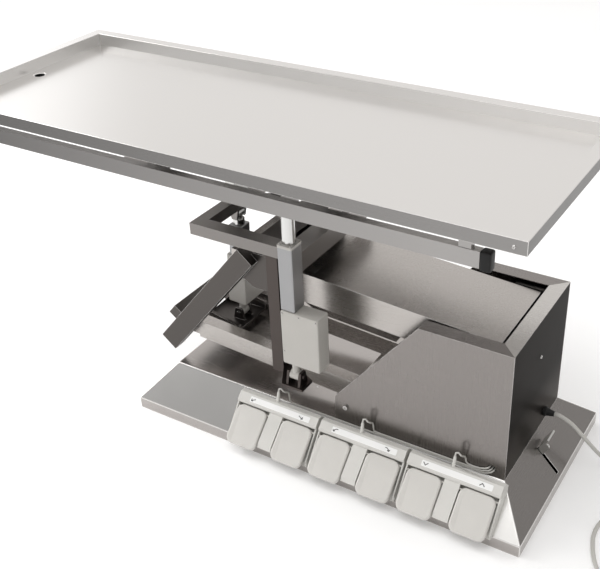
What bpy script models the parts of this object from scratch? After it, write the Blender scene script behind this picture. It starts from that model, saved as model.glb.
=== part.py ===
"""Electric operating table: a drain tray on a tilting top frame, a parallelogram lift and a skirted base.

Units are metres. +X runs along the table towards the lift housing, -Y is the operator's side with the
foot switches, +Z is up. The origin is the centre of the base on the floor.
"""
import math

import bmesh
import bpy
from mathutils import Matrix, Vector

# Clearances
GAP = 0.0003
FORK_CLEARANCE = 0.0005

# Base
BASE_LENGTH = 0.957
BASE_DEPTH = 0.468
BASE_SHEET = 0.002
SKIRT_HEIGHT = 0.028
PLATEAU_HEIGHT = 0.102
SLOPE_RUN_FRONT = 0.082
SLOPE_RUN_LEFT = 0.0625
SLOPE_RUN_RIGHT = 0.0705
PAN_THICKNESS = 0.003

# Housing over the lift pivots
HOUSING_TOP = 0.4015
HOUSING_FOOT_LENGTH = 0.391
HOUSING_TOP_LENGTH = 0.197
HOUSING_TOE_HEIGHT = 0.063
HOUSING_FLANGE = 0.034
HOUSING_RETURN = 0.012
MITRE_GAP = 0.0002

# Parallelogram lift, pivots given in the XZ plane
ARM_PIVOT_X = 0.336
ARM_PIVOT_Z = 0.355
ARM_LENGTH = 0.581
ARM_ANGLE = math.radians(3.75)
LINK_LENGTH = 0.275
LINK_ANGLE = math.radians(50.45)
PIVOT_PIN_RADIUS = 0.010

# Lift arm
ARM_WIDTH = 0.207
ARM_ABOVE_PIVOT = 0.0337
ARM_BELOW_PIVOT = 0.036
ARM_WALL = 0.004
ARM_END_LEFT = 0.024
ARM_END_RIGHT = 0.0225
BELLY_DEPTH = 0.035
BELLY_WIDTH = 0.160
BELLY_RIGHT = 0.186
BELLY_LEFT = 0.415
BELLY_CHAMFER = 0.020
BELLY_WALL = 0.003
COVER_SHEET = 0.0015
COVER_LIP = 0.023
COVER_LENGTH = 0.427
COVER_OVERHANG = 0.0025

# Lower arm
LOWER_TUBE_WIDTH = 0.030
LOWER_TUBE_HEIGHT = 0.045
LOWER_TUBE_WALL = 0.003
LOWER_TUBE_INSET = 0.036
LOWER_EYE_RADIUS = 0.0205
LOWER_EYE_WIDTH = 0.020
LOWER_TIE_THICKNESS = 0.004
LOWER_TIE_REACHES = ((-0.49, -0.36), (-0.15, -0.09))
LOWER_SIDE_GAP = 0.004

# Head carried by the two arms
HEAD_BAR_WIDTH = 0.047
HEAD_BAR_THICKNESS = 0.030
HEAD_BAR_INNER_FACE = 0.107
HEAD_BAR_BELOW = 0.055
HEAD_BAR_ABOVE = 0.0565
HEAD_CHEEK_THICKNESS = 0.008
HEAD_CHEEK_LENGTH = 0.122
HEAD_CHEEK_DROP = 0.041
CROSS_TUBE = 0.030
CROSS_TUBE_OFFSET = 0.0362
CRADLE_WEB_GAUGE = 0.008
CRADLE_HALF_WIDTH = 0.058
CRADLE_LENGTH = 0.118
CRADLE_PLATE_Z = 0.172

# Ring frame that tips the table end over end
RING_LENGTH = 0.279
RING_LEFT = -0.332
RING_DEPTH = 0.310
RING_TOP = 0.498
RING_TUBE_HEIGHT = 0.027
RING_SIDE_TUBE = 0.032
RING_LEFT_TUBE = 0.028
RING_RIGHT_TUBE = 0.042
RING_RIGHT_TUBE_HEIGHT = 0.045
TREND_PIVOT_FROM_END = 0.081
TREND_BOX_LENGTH = 0.063
TREND_BOX_BEFORE_PIVOT = 0.037
TREND_BOX_HEIGHT = 0.056
TREND_BOX_BELOW_RING_TOP = 0.002
TREND_BOX_WALL = 0.004
TREND_BOX_SIDE_GAP = 0.0035
TREND_PIN_LENGTH = 0.010

# Hanging post and foot of the side tilt actuator
POST_WIDTH = 0.029
POST_DEPTH = 0.028
POST_BEFORE_PIVOT = 0.005
POST_BOTTOM = 0.182
FOOT_PLATE = 0.006
FOOT_HALF_LENGTH = 0.026
FOOT_HALF_DEPTH = 0.020
FOOT_BELOW_PIN = 0.020

# Top frame
TILT_AXIS_Z = 0.585
TILT_SHAFT_RADIUS = 0.014
TILT_BEARING_WIDTH = 0.024
TILT_BEARING_HALF_DEPTH = 0.026
CROSS_MEMBER_LEFT = -0.420
CROSS_MEMBER_LEFT_WIDTH = 0.080
CROSS_MEMBER_RIGHT = 0.005
CROSS_MEMBER_RIGHT_WIDTH = 0.060
CROSS_MEMBER_HEIGHT = 0.028
CROSS_MEMBER_WALL = 0.003
HANGER_THICKNESS = 0.012
HANGER_HALF_DEPTH = 0.022
BEAM_INSET = 0.0235
BEAM_WIDTH = 0.028
BEAM_HEIGHT = 0.032
BEAM_WALL = 0.002
BEAM_LENGTH = 1.222
SPACER_HEIGHT = 0.022
SPACER_WIDTH = 0.023
SPACER_INSET = 0.016
CAP_LENGTH = 0.021
CAP_LIP = 0.002
CAP_PLUG = 0.015

# Tray
TRAY_LENGTH = 1.400
TRAY_WIDTH = 0.547
TRAY_CENTRE_X = -0.244
TRAY_TOP = 0.717
TRAY_SHEET = 0.0015
RIM_WIDTH = 0.028
RIM_HEIGHT = 0.031
TRAY_DEPTH = 0.030
WALL_DRAFT = 0.002
DRAIN_INSET = 0.059
DRAIN_BORE = 0.012
DRAIN_HOLE = 0.016
DRAIN_FLANGE = 0.0215
DRAIN_NUT_HEIGHT = 0.005
DRAIN_BARREL_LENGTH = 0.030

# Linear actuators that show: a square tube on a motor box, with a round rod
ACT_TUBE_WIDTH = 0.034
ACT_TUBE_DEPTH = 0.038
ACT_MOTOR_DEPTH = 0.042
ACT_MOTOR_LENGTH = 0.090
ACT_MOTOR_HEIGHT = 0.130
ACT_EYE_RADIUS = 0.011
ACT_EYE_WIDTH = 0.022
ACT_ROD_RADIUS = 0.0135
ACT_PIN_RADIUS = 0.005
ACT_LUG_THICKNESS = 0.006
ACT_BORE_FLOOR = 0.006

# Side tilt actuator
TILT_ACT_X = -0.053
TILT_ACT_Y = -0.190
TILT_ACT_LOWER_Z = 0.222
TILT_ACT_UPPER_Z = 0.635
TILT_ACT_BOX_BOTTOM = 0.038
TILT_ACT_TUBE_TOP = 0.316
TILT_ROD_RESERVE = 0.055

# End to end tilt actuator
TREND_ACT_LOWER_X = -0.330
TREND_ACT_LOWER_Z = 0.190
TREND_ACT_UPPER_X = -0.319
TREND_ACT_UPPER_Z = 0.455
TREND_ACT_BOX_BOTTOM = 0.030
TREND_ACT_BOX_WIDTH = 0.050
TREND_ACT_TUBE_TOP = 0.238
TREND_ROD_RESERVE = 0.012

# Lift actuator inside the housing
LIFT_ACT_LOWER_X = 0.338
LIFT_ACT_LOWER_Z = 0.150
LIFT_ACT_UPPER_X = 0.180
LIFT_ACT_UPPER_Z = 0.311
LIFT_ACT_BODY_RADIUS = 0.026
LIFT_ACT_BODY_BOTTOM = 0.022
LIFT_ACT_BODY_TOP = 0.190
LIFT_ACT_ROD_RADIUS = 0.012
LIFT_MOTOR_RADIUS = 0.024
LIFT_MOTOR_OFFSET = 0.016
LIFT_MOTOR_TOP = 0.120
LIFT_BORE_FLOOR = 0.028
LIFT_ROD_RESERVE = 0.008

# Pivot frame that carries both arms
FRAME_PLATE = 0.008
FRAME_INNER_FACE = 0.1085
FRAME_LEFT = 0.125
FRAME_RIGHT = 0.390
FRAME_TOP = 0.393
FRAME_TOE_HEIGHT = 0.062
FRAME_TOP_LENGTH = 0.084
TIE_ROD_RADIUS = 0.005
TIE_ROD_X = 0.377
TIE_ROD_Z = 0.386
CLEVIS_BAR_LENGTH = 0.044
CLEVIS_BAR_HEIGHT = 0.020

# Control box inside the housing
CONTROL_X = 0.200
CONTROL_Y = 0.056
CONTROL_LENGTH = 0.100
CONTROL_WIDTH = 0.048
CONTROL_HEIGHT = 0.160

# Foot switches, measured along the front slope from the plateau's edge
SWITCH_COUNT = 3
SWITCH_PITCH = 0.212
SWITCH_FIRST_X = -0.107
SWITCH_WIDTH = 0.207
SWITCH_TOP_GAP = 0.006
SWITCH_LENGTH = 0.124
SWITCH_BED = 0.008
SWITCH_BAR_LENGTH = 0.032
SWITCH_BAR_HEIGHT = 0.033
SWITCH_WEB_WIDTH = 0.034
SWITCH_WEB_HEIGHT = 0.027
SWITCH_RAIL_HEIGHT = 0.0275
SWITCH_RAIL_LOW = 0.015
PEDAL_WIDTH = 0.078
PEDAL_LENGTH = 0.090
PEDAL_THICKNESS = 0.011
PEDAL_RIDE_HEIGHT = 0.0245
PEDAL_PLAY = 0.0025
PEDAL_CORNER = 0.015
PEDAL_EDGE = 0.0035
PEDAL_PIN_RADIUS = 0.002
PEDAL_PIN_REACH = 0.0045
PEDAL_HINGE_INSET = 0.006
PEDAL_DROOP_LENGTH = 0.030
PEDAL_DROOP_CURVE = 4.5
RELIEF_LENGTH = 0.030
RELIEF_RADIUS = 0.0042
LEAD_RADIUS = 0.0019
LEAD_HOLE_X = 0.379
LEAD_HOLE_Z = 0.120
LEAD_HOLE_RADIUS = 0.0095
LEAD_HOLE_HEIGHTS = (-0.0042, -0.0020, 0.0018)

# Wheel lever in the right slope
LEVER_SHAFT_X = 0.400
LEVER_SHAFT_Z = 0.028
LEVER_SHAFT_RADIUS = 0.006
LEVER_SHAFT_HALF = 0.164
LEVER_Y = -0.007
LEVER_PLATE = 0.005
LEVER_ARM_WIDTH = 0.014
LEVER_REST_ANGLE = math.radians(58)
LEVER_ARM_LENGTH = 0.078
PAD_INNER = 0.068
PAD_OUTER = 0.099
PAD_WIDTH = 0.038
PAD_THICKNESS = 0.004
SLOT_WIDTH = 0.009
SLOT_START = 0.235
SLOT_END = 0.905
CRANK_LENGTH = 0.030
CRANK_REST_ANGLE = math.radians(10)
CRANK_PLATE = 0.008
WHEEL_RADIUS = 0.018
WHEEL_WIDTH = 0.016
WHEEL_AXLE_RADIUS = 0.004
WHEEL_AXLE_HEAD = 0.007
WHEEL_INNER_FACE = 0.1665
ROLLER_X = -0.440
ROLLER_AXLE_Z = 0.0205

# Mains cord
CORD_RADIUS = 0.0043
CORD_EXIT_Y = 0.060
CORD_EXIT_Z = 0.129
GLAND_FLANGE_RADIUS = 0.0105
GLAND_LENGTH = 0.024
COIL_MEAN_RADIUS = 0.050
COIL_HALF_WIDTH = 0.014
COIL_HEIGHT = 0.026
COIL_X = 0.722
COIL_Y = -0.280
COIL_END_LENGTH = 0.075
PLUG_LENGTH = 0.036
PLUG_RADIUS = 0.0165
PLUG_AXIS_Z = 0.017
CORD_ROUTE = [
    (0.4323, 0.0600, 0.1290), (0.4440, 0.0600, 0.1290), (0.4700, 0.0650, 0.1130),
    (0.5000, 0.0740, 0.0780), (0.5320, 0.0860, 0.0390), (0.5680, 0.0960, 0.0120),
    (0.6080, 0.0980, 0.0047), (0.6500, 0.0830, 0.0047), (0.6740, 0.0480, 0.0047),
    (0.6620, 0.0090, 0.0047), (0.6240, -0.0200, 0.0047), (0.5910, -0.0580, 0.0047),
    (0.5850, -0.1050, 0.0047), (0.5990, -0.1550, 0.0047), (0.6200, -0.1930, 0.0047),
    (0.6460, -0.2200, 0.0047), (0.6660, -0.2290, 0.0047), (0.6769, -0.2300, 0.0047),
]

# Derived places
PLATEAU_Y = BASE_DEPTH / 2 - SLOPE_RUN_FRONT
PLATEAU_LEFT = -BASE_LENGTH / 2 + SLOPE_RUN_LEFT
PLATEAU_RIGHT = BASE_LENGTH / 2 - SLOPE_RUN_RIGHT
HOUSING_FLOOR = PLATEAU_HEIGHT + GAP
ARM_PIVOT = Vector((ARM_PIVOT_X, 0, ARM_PIVOT_Z))
ARM_TO_HEAD = Vector((-math.cos(ARM_ANGLE), 0, math.sin(ARM_ANGLE))) * ARM_LENGTH
LINK = Vector((math.cos(LINK_ANGLE), 0, math.sin(LINK_ANGLE))) * LINK_LENGTH
HEAD_PIVOT = ARM_PIVOT + ARM_TO_HEAD
LOWER_PIVOT = ARM_PIVOT - LINK
LOWER_HEAD_PIVOT = HEAD_PIVOT - LINK
LOWER_OUTER_FACE = HEAD_BAR_INNER_FACE - LOWER_SIDE_GAP
LOWER_INNER_FACE = LOWER_OUTER_FACE - LOWER_TUBE_WIDTH
LOWER_EYE_INNER = LOWER_OUTER_FACE - (LOWER_TUBE_WIDTH + LOWER_EYE_WIDTH) / 2
RING_RIGHT = RING_LEFT + RING_LENGTH
TREND_PIVOT_X = RING_RIGHT - TREND_PIVOT_FROM_END
TREND_BOX_LEFT = TREND_PIVOT_X - TREND_BOX_BEFORE_PIVOT
POST_LEFT = TREND_PIVOT_X - POST_BEFORE_PIVOT
DRAIN_X = TRAY_CENTRE_X - TRAY_LENGTH / 2 + DRAIN_INSET
RING_BOTTOM = RING_TOP - RING_TUBE_HEIGHT
TREND_PIVOT = Vector((TREND_PIVOT_X, 0, RING_TOP - RING_TUBE_HEIGHT / 2))
TREND_BOX_TOP = RING_TOP - TREND_BOX_BELOW_RING_TOP
TREND_BOX_LOW = TREND_BOX_TOP - TREND_BOX_HEIGHT
CHEEK_TOP = TREND_BOX_LOW - GAP
BEAM_OUTER_FACE = TRAY_WIDTH / 2 - BEAM_INSET
TRAY_UNDERSIDE = TRAY_TOP - TRAY_DEPTH - TRAY_SHEET
BEAM_TOP = TRAY_UNDERSIDE - GAP - SPACER_HEIGHT
BEAM_INNER_FACE = BEAM_OUTER_FACE - BEAM_WIDTH
LUG_INNER_FACE = ACT_EYE_WIDTH / 2 + FORK_CLEARANCE
PIN_INNER_END = ARM_WIDTH / 2 - ARM_WALL - 0.008
WHEEL_SIDE_FACE = WHEEL_INNER_FACE - GAP - FORK_CLEARANCE
PEDAL_HIGH = -SWITCH_TOP_GAP - SWITCH_BAR_LENGTH - PEDAL_PLAY
PEDAL_HINGE_Y = PEDAL_HIGH - PEDAL_HINGE_INSET
PEDAL_HINGE_Z = PEDAL_RIDE_HEIGHT - 0.0025
SLOPE_ANGLE = math.atan2(PLATEAU_HEIGHT - SKIRT_HEIGHT, SLOPE_RUN_FRONT)


# Small modelling tools

def clear_scene():
    """Remove every object that the file opened with."""
    for item in list(bpy.data.objects):
        bpy.data.objects.remove(item)


def make_material(name, colour, roughness, metallic):
    """Return a Principled material."""
    material = bpy.data.materials.new(name)
    material.use_nodes = True
    shader = material.node_tree.nodes["Principled BSDF"]
    shader.inputs["Base Color"].default_value = (*colour, 1.0)
    shader.inputs["Roughness"].default_value = roughness
    shader.inputs["Metallic"].default_value = metallic
    return material


def make_object(bm, name="piece"):
    """Put a bmesh into a new linked object, with its faces pointing out."""
    bmesh.ops.recalc_face_normals(bm, faces=bm.faces)
    mesh = bpy.data.meshes.new(name)
    bm.to_mesh(mesh)
    bm.free()
    item = bpy.data.objects.new(name, mesh)
    bpy.context.scene.collection.objects.link(item)
    return item


def make_box(low, high):
    """Return a box between two corners."""
    bm = bmesh.new()
    bmesh.ops.create_cube(bm, size=1.0)
    size = Vector(high) - Vector(low)
    centre = (Vector(high) + Vector(low)) / 2
    bmesh.ops.scale(bm, vec=size, verts=bm.verts)
    bmesh.ops.translate(bm, vec=centre, verts=bm.verts)
    return make_object(bm)


def make_prism(outline, start, end, axis="Y"):
    """Return an outline extruded along one axis.

    The outline's pairs are (x, z) for axis Y, (y, z) for axis X and (x, y) for axis Z.
    """
    put = {
        "X": lambda pair, depth: (depth, pair[0], pair[1]),
        "Y": lambda pair, depth: (pair[0], depth, pair[1]),
        "Z": lambda pair, depth: (pair[0], pair[1], depth),
    }[axis]
    bm = bmesh.new()
    lower = [bm.verts.new(put(pair, start)) for pair in outline]
    upper = [bm.verts.new(put(pair, end)) for pair in outline]
    bm.faces.new(lower)
    bm.faces.new(upper)
    for index, vertex in enumerate(lower):
        following = (index + 1) % len(lower)
        bm.faces.new((vertex, lower[following], upper[following], upper[index]))
    return make_object(bm)


def make_cylinder(start, end, radius, sides=16, end_radius=None):
    """Return a round bar, or a cone where the end has its own radius."""
    start = Vector(start)
    end = Vector(end)
    axis = end - start
    bm = bmesh.new()
    bmesh.ops.create_cone(
        bm, cap_ends=True, segments=sides, radius1=radius,
        radius2=radius if end_radius is None else end_radius, depth=axis.length)
    turn = Vector((0, 0, 1)).rotation_difference(axis).to_matrix()
    bmesh.ops.rotate(bm, matrix=turn, verts=bm.verts)
    bmesh.ops.translate(bm, vec=(start + end) / 2, verts=bm.verts)
    return make_object(bm)


def make_turned(profile, origin, axis="Z", sides=24):
    """Return a profile of (radius, height) pairs turned about an axis through the origin."""
    frame = {
        "X": lambda r, h, a: (h, r * math.cos(a), r * math.sin(a)),
        "Y": lambda r, h, a: (r * math.cos(a), h, r * math.sin(a)),
        "Z": lambda r, h, a: (r * math.cos(a), r * math.sin(a), h),
    }[axis]
    bm = bmesh.new()
    rings = []
    for radius, height in profile:
        if radius == 0:
            rings.append([bm.verts.new(frame(0, height, 0))] * sides)
            continue
        angles = [2 * math.pi * step / sides for step in range(sides)]
        rings.append([bm.verts.new(frame(radius, height, angle)) for angle in angles])
    for lower, upper in zip(rings, rings[1:] + rings[:1]):
        for index in range(sides):
            following = (index + 1) % sides
            corners = [lower[index], lower[following], upper[following], upper[index]]
            corners = list(dict.fromkeys(corners))
            if len(corners) > 2:
                bm.faces.new(corners)
    bmesh.ops.translate(bm, vec=origin, verts=bm.verts)
    return make_object(bm)


def make_loft(rings):
    """Return a closed body through rings of points, capped at both ends."""
    bm = bmesh.new()
    loops = [[bm.verts.new(point) for point in ring] for ring in rings]
    bm.faces.new(loops[0])
    bm.faces.new(loops[-1])
    for lower, upper in zip(loops, loops[1:]):
        for index in range(len(lower)):
            following = (index + 1) % len(lower)
            bm.faces.new((lower[index], lower[following], upper[following], upper[index]))
    return make_object(bm)


def rectangle(left, right, front, back, height):
    """Return the four corners of a level rectangle."""
    return [(left, front, height), (right, front, height), (right, back, height), (left, back, height)]


def bake(item):
    """Replace an object's mesh by what its modifiers make of it."""
    graph = bpy.context.evaluated_depsgraph_get()
    mesh = bpy.data.meshes.new_from_object(item.evaluated_get(graph))
    item.modifiers.clear()
    item.data = mesh
    return item


def combine(item, tools, operation):
    """Join tools to an object or cut them from it, and remove them."""
    for tool in tools:
        modifier = item.modifiers.new(operation.title(), "BOOLEAN")
        modifier.operation = operation
        modifier.solver = "EXACT"
        modifier.object = tool
        bpy.context.view_layer.update()
        bake(item)
        bpy.data.objects.remove(tool)
    return item


def weld(item, *tools):
    """Join several bodies into one."""
    return combine(item, tools, "UNION")


def cut(item, *tools):
    """Cut several bodies from one."""
    return combine(item, tools, "DIFFERENCE")


def bevel(item, width, segments=1, angle=math.radians(40)):
    """Break the sharp edges of an object."""
    modifier = item.modifiers.new("Bevel", "BEVEL")
    modifier.width = width
    modifier.segments = segments
    modifier.limit_method = "ANGLE"
    modifier.angle_limit = angle
    bpy.context.view_layer.update()
    return bake(item)


def mirror_y(item):
    """Return a copy of an object on the other side of the XZ plane."""
    bm = bmesh.new()
    bm.from_mesh(item.data)
    bmesh.ops.scale(bm, vec=(1, -1, 1), verts=bm.verts)
    bmesh.ops.reverse_faces(bm, faces=bm.faces)
    return make_object(bm)


def both_sides(item):
    """Return an object together with its mirror image."""
    return item, mirror_y(item)


def flipped(item):
    """Return an object's mirror image and remove the original."""
    mirrored = mirror_y(item)
    bpy.data.objects.remove(item)
    return mirrored


def place(item, name, material, body, origin=(0, 0, 0), turn=None, local=False):
    """Name an object, give it its material and hang it on its body with its origin on the joint axis.

    A local mesh is already drawn about its origin and turned into place, any other is drawn in the
    table's own frame.
    """
    origin = Vector(origin)
    if not local:
        item.data.transform(Matrix.Translation(-origin))
    item.data.materials.clear()
    item.data.materials.append(material)
    item.data.shade_smooth()
    item.data.set_sharp_from_angle(angle=math.radians(35))
    item.name = name
    item.data.name = name
    item.parent = body
    item.location = origin - body.location
    if turn is not None:
        item.rotation_euler = turn
    return item


def make_body(name, origin=(0, 0, 0)):
    """Return an empty that stands for a rigid body, on its joint axis."""
    body = bpy.data.objects.new(name, None)
    body.location = origin
    bpy.context.scene.collection.objects.link(body)
    return body


def arc(centre, radius, start, end, steps):
    """Return points of an arc in a plane, angles in degrees."""
    points = []
    for step in range(steps + 1):
        angle = math.radians(start + (end - start) * step / steps)
        points.append((centre[0] + radius * math.cos(angle), centre[1] + radius * math.sin(angle)))
    return points


def rounded_outline(left, right, low, high, radius, steps=4):
    """Return a rectangle with round corners."""
    return (
        arc((right - radius, high - radius), radius, 0, 90, steps)
        + arc((left + radius, high - radius), radius, 90, 180, steps)
        + arc((left + radius, low + radius), radius, 180, 270, steps)
        + arc((right - radius, low + radius), radius, 270, 360, steps)
    )


def link_outline(start, end, radius, steps=8):
    """Return a plate outline with a round end about each of two points."""
    angle = math.degrees(math.atan2(end[1] - start[1], end[0] - start[0]))
    return (arc(end, radius, angle - 90, angle + 90, steps)
            + arc(start, radius, angle + 90, angle + 270, steps))


def smooth_route(points, spacing):
    """Return evenly spaced points of a smooth curve through a cord's points, with its ends kept square."""
    anchors = [Vector(point) for point in points]
    anchors = [2 * anchors[0] - anchors[1]] + anchors + [2 * anchors[-1] - anchors[-2]]
    fine = []
    for index in range(1, len(anchors) - 2):
        before, here, after, beyond = anchors[index - 1:index + 3]
        for step in range(24):
            t = step / 24
            fine.append(0.5 * (2 * here + (after - before) * t
                               + (2 * before - 5 * here + 4 * after - beyond) * t ** 2
                               + (3 * here - before - 3 * after + beyond) * t ** 3))
    fine.append(anchors[-2])
    route = fine[:2]
    travelled = 0.0
    for before, after in zip(fine[1:-3], fine[2:-2]):
        travelled += (after - before).length
        if travelled >= spacing:
            route.append(after)
            travelled = 0.0
    if (route[-1] - fine[-1]).length < spacing / 2:
        route.pop()
    return route + fine[-2:]


def make_cord(points, radius, spacing):
    """Return a round cord along a smooth route."""
    route = smooth_route(points, spacing)
    curve = bpy.data.curves.new("cord", "CURVE")
    curve.dimensions = "3D"
    curve.bevel_depth = radius
    curve.bevel_resolution = 2
    curve.use_fill_caps = True
    spline = curve.splines.new("POLY")
    spline.points.add(len(route) - 1)
    for point, position in zip(spline.points, route):
        point.co = (*position, 1.0)
    item = bpy.data.objects.new("cord", curve)
    bpy.context.scene.collection.objects.link(item)
    return item


def place_cord(item, name, material, body):
    """Name a cord and give it its material."""
    item.name = name
    item.data.name = name
    item.data.materials.append(material)
    item.parent = body
    return item


# Base

def make_base_shell():
    """Return the folded cover of the base, open below, with the slot of the wheel lever."""
    half_length = BASE_LENGTH / 2
    half_depth = BASE_DEPTH / 2
    sheet = BASE_SHEET
    bend = sheet * math.tan(SLOPE_ANGLE / 2)
    outer = [
        rectangle(-half_length, half_length, -half_depth, half_depth, 0),
        rectangle(-half_length, half_length, -half_depth, half_depth, SKIRT_HEIGHT),
        rectangle(PLATEAU_LEFT, PLATEAU_RIGHT, -PLATEAU_Y, PLATEAU_Y, PLATEAU_HEIGHT),
    ]
    inner = [
        rectangle(-half_length + sheet, half_length - sheet, -half_depth + sheet, half_depth - sheet,
                  -sheet),
        rectangle(-half_length + sheet, half_length - sheet, -half_depth + sheet, half_depth - sheet,
                  SKIRT_HEIGHT - bend),
        rectangle(PLATEAU_LEFT + bend, PLATEAU_RIGHT - bend, -PLATEAU_Y + bend, PLATEAU_Y - bend,
                  PLATEAU_HEIGHT - sheet),
    ]
    shell = cut(make_loft(outer), make_loft(inner))
    edge = Vector((PLATEAU_RIGHT, 0, PLATEAU_HEIGHT))
    slope = Vector((SLOPE_RUN_RIGHT, 0, SKIRT_HEIGHT - PLATEAU_HEIGHT))
    slot_top = edge + slope * SLOT_START
    slot_end = edge + slope * SLOT_END
    normal = Vector((-slope.z, 0, slope.x)).normalized() * 0.012
    corners = (slot_top - normal, slot_top + normal, slot_end + normal, slot_end - normal)
    slot = make_prism([(p.x, p.z) for p in corners], LEVER_Y - SLOT_WIDTH / 2, LEVER_Y + SLOT_WIDTH / 2)
    return cut(shell, slot)


def make_wheel_windows(left, right):
    """Return the two cutters of the wheel windows at one end of the bottom pan."""
    inner = WHEEL_INNER_FACE - CRANK_PLATE - 0.003
    outer = WHEEL_INNER_FACE + WHEEL_WIDTH + 0.006
    return both_sides(make_box((left, inner, -0.01), (right, outer, 0.01)))


def make_axle(x, z, inner_face):
    """Return a wheel's axle with its head, from a fork or crank outwards."""
    head_start = WHEEL_INNER_FACE + WHEEL_WIDTH + GAP
    axle = make_cylinder((x, inner_face, z), (x, head_start + 0.001, z), WHEEL_AXLE_RADIUS)
    head = make_cylinder((x, head_start, z), (x, head_start + 0.0025, z), WHEEL_AXLE_HEAD)
    return weld(axle, head)


def make_base_pan():
    """Return the bottom plate with the bearings of the wheel shaft and the forks of the rollers."""
    half_length = BASE_LENGTH / 2 - BASE_SHEET - GAP
    half_depth = BASE_DEPTH / 2 - BASE_SHEET - GAP
    pan = make_box((-half_length, -half_depth, 0), (half_length, half_depth, PAN_THICKNESS))
    window_right = LEVER_SHAFT_X + CRANK_LENGTH + WHEEL_RADIUS + 0.004
    cut(pan, *make_wheel_windows(LEVER_SHAFT_X + 0.006, window_right))
    cut(pan, *make_wheel_windows(ROLLER_X - WHEEL_RADIUS - 0.004, ROLLER_X + WHEEL_RADIUS + 0.004))
    lug = make_box((LEVER_SHAFT_X - 0.012, 0.116, PAN_THICKNESS - 0.001),
                   (LEVER_SHAFT_X + 0.012, 0.124, LEVER_SHAFT_Z + 0.013))
    bore = make_cylinder((LEVER_SHAFT_X, 0.11, LEVER_SHAFT_Z), (LEVER_SHAFT_X, 0.13, LEVER_SHAFT_Z),
                         LEVER_SHAFT_RADIUS + GAP)
    weld(pan, *both_sides(cut(lug, bore)))
    face = WHEEL_SIDE_FACE
    fork = make_box((ROLLER_X - 0.009, face - 0.006, 0.0), (ROLLER_X + 0.009, face, 0.030))
    foot = make_box((ROLLER_X - 0.009, face - 0.030, 0.0), (ROLLER_X + 0.009, face - 0.004, 0.006))
    weld(fork, foot, make_axle(ROLLER_X, ROLLER_AXLE_Z, face - 0.002))
    return weld(pan, *both_sides(fork))


def make_wheel(x, z, side):
    """Return one wheel with a rounded tread and a bore for its axle."""
    bore = WHEEL_AXLE_RADIUS + GAP
    crown = WHEEL_RADIUS - 0.0025
    profile = [(bore, 0), (crown, 0), (WHEEL_RADIUS, 0.003), (WHEEL_RADIUS, WHEEL_WIDTH - 0.003),
               (crown, WHEEL_WIDTH), (bore, WHEEL_WIDTH)]
    wheel = make_turned(profile, (x, WHEEL_INNER_FACE, z), "Y", 16)
    return flipped(wheel) if side < 0 else wheel


def castor_axle():
    """Return the place of the castor wheels' axle at rest."""
    return (LEVER_SHAFT_X + CRANK_LENGTH * math.cos(CRANK_REST_ANGLE),
            LEVER_SHAFT_Z + CRANK_LENGTH * math.sin(CRANK_REST_ANGLE))


def make_castor_lever():
    """Return the wheel shaft with its two cranks, the lever in the slot and its foot pad."""
    centre = Vector((LEVER_SHAFT_X, 0, LEVER_SHAFT_Z))
    reach = Vector((0, LEVER_SHAFT_HALF, 0))
    shaft = make_cylinder(centre - reach, centre + reach, LEVER_SHAFT_RADIUS)
    axle_x, axle_z = castor_axle()
    crank = make_prism(link_outline((LEVER_SHAFT_X, LEVER_SHAFT_Z), (axle_x, axle_z), 0.009),
                       WHEEL_SIDE_FACE - CRANK_PLATE, WHEEL_SIDE_FACE)
    weld(crank, make_axle(axle_x, axle_z, WHEEL_SIDE_FACE - 0.002))
    weld(shaft, *both_sides(crank))
    out = Vector((math.cos(LEVER_REST_ANGLE), 0, math.sin(LEVER_REST_ANGLE)))
    across = Vector((-out.z, 0, out.x))
    tip = centre + out * LEVER_ARM_LENGTH
    arm = make_prism(link_outline((centre.x, centre.z), (tip.x, tip.z), LEVER_ARM_WIDTH / 2),
                     LEVER_Y - LEVER_PLATE / 2, LEVER_Y + LEVER_PLATE / 2)
    lift = across * (LEVER_ARM_WIDTH / 2 - 0.001)
    near = centre + out * PAD_INNER + lift
    far = centre + out * PAD_OUTER + lift
    thick = across * PAD_THICKNESS
    outline = [(p.x, p.z) for p in (near, far, far + thick, near + thick)]
    pad_start = LEVER_Y - LEVER_PLATE / 2 - 0.004
    pad = make_prism(outline, pad_start, pad_start + PAD_WIDTH)
    return weld(shaft, arm, pad)


# Housing

def housing_outline():
    """Return the side outline of the housing's long panels."""
    left = PLATEAU_RIGHT - HOUSING_FOOT_LENGTH
    return [
        (left, HOUSING_FLOOR),
        (PLATEAU_RIGHT, HOUSING_FLOOR),
        (PLATEAU_RIGHT, HOUSING_TOP),
        (PLATEAU_RIGHT - HOUSING_TOP_LENGTH, HOUSING_TOP),
        (left, PLATEAU_HEIGHT + HOUSING_TOE_HEIGHT),
    ]


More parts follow.
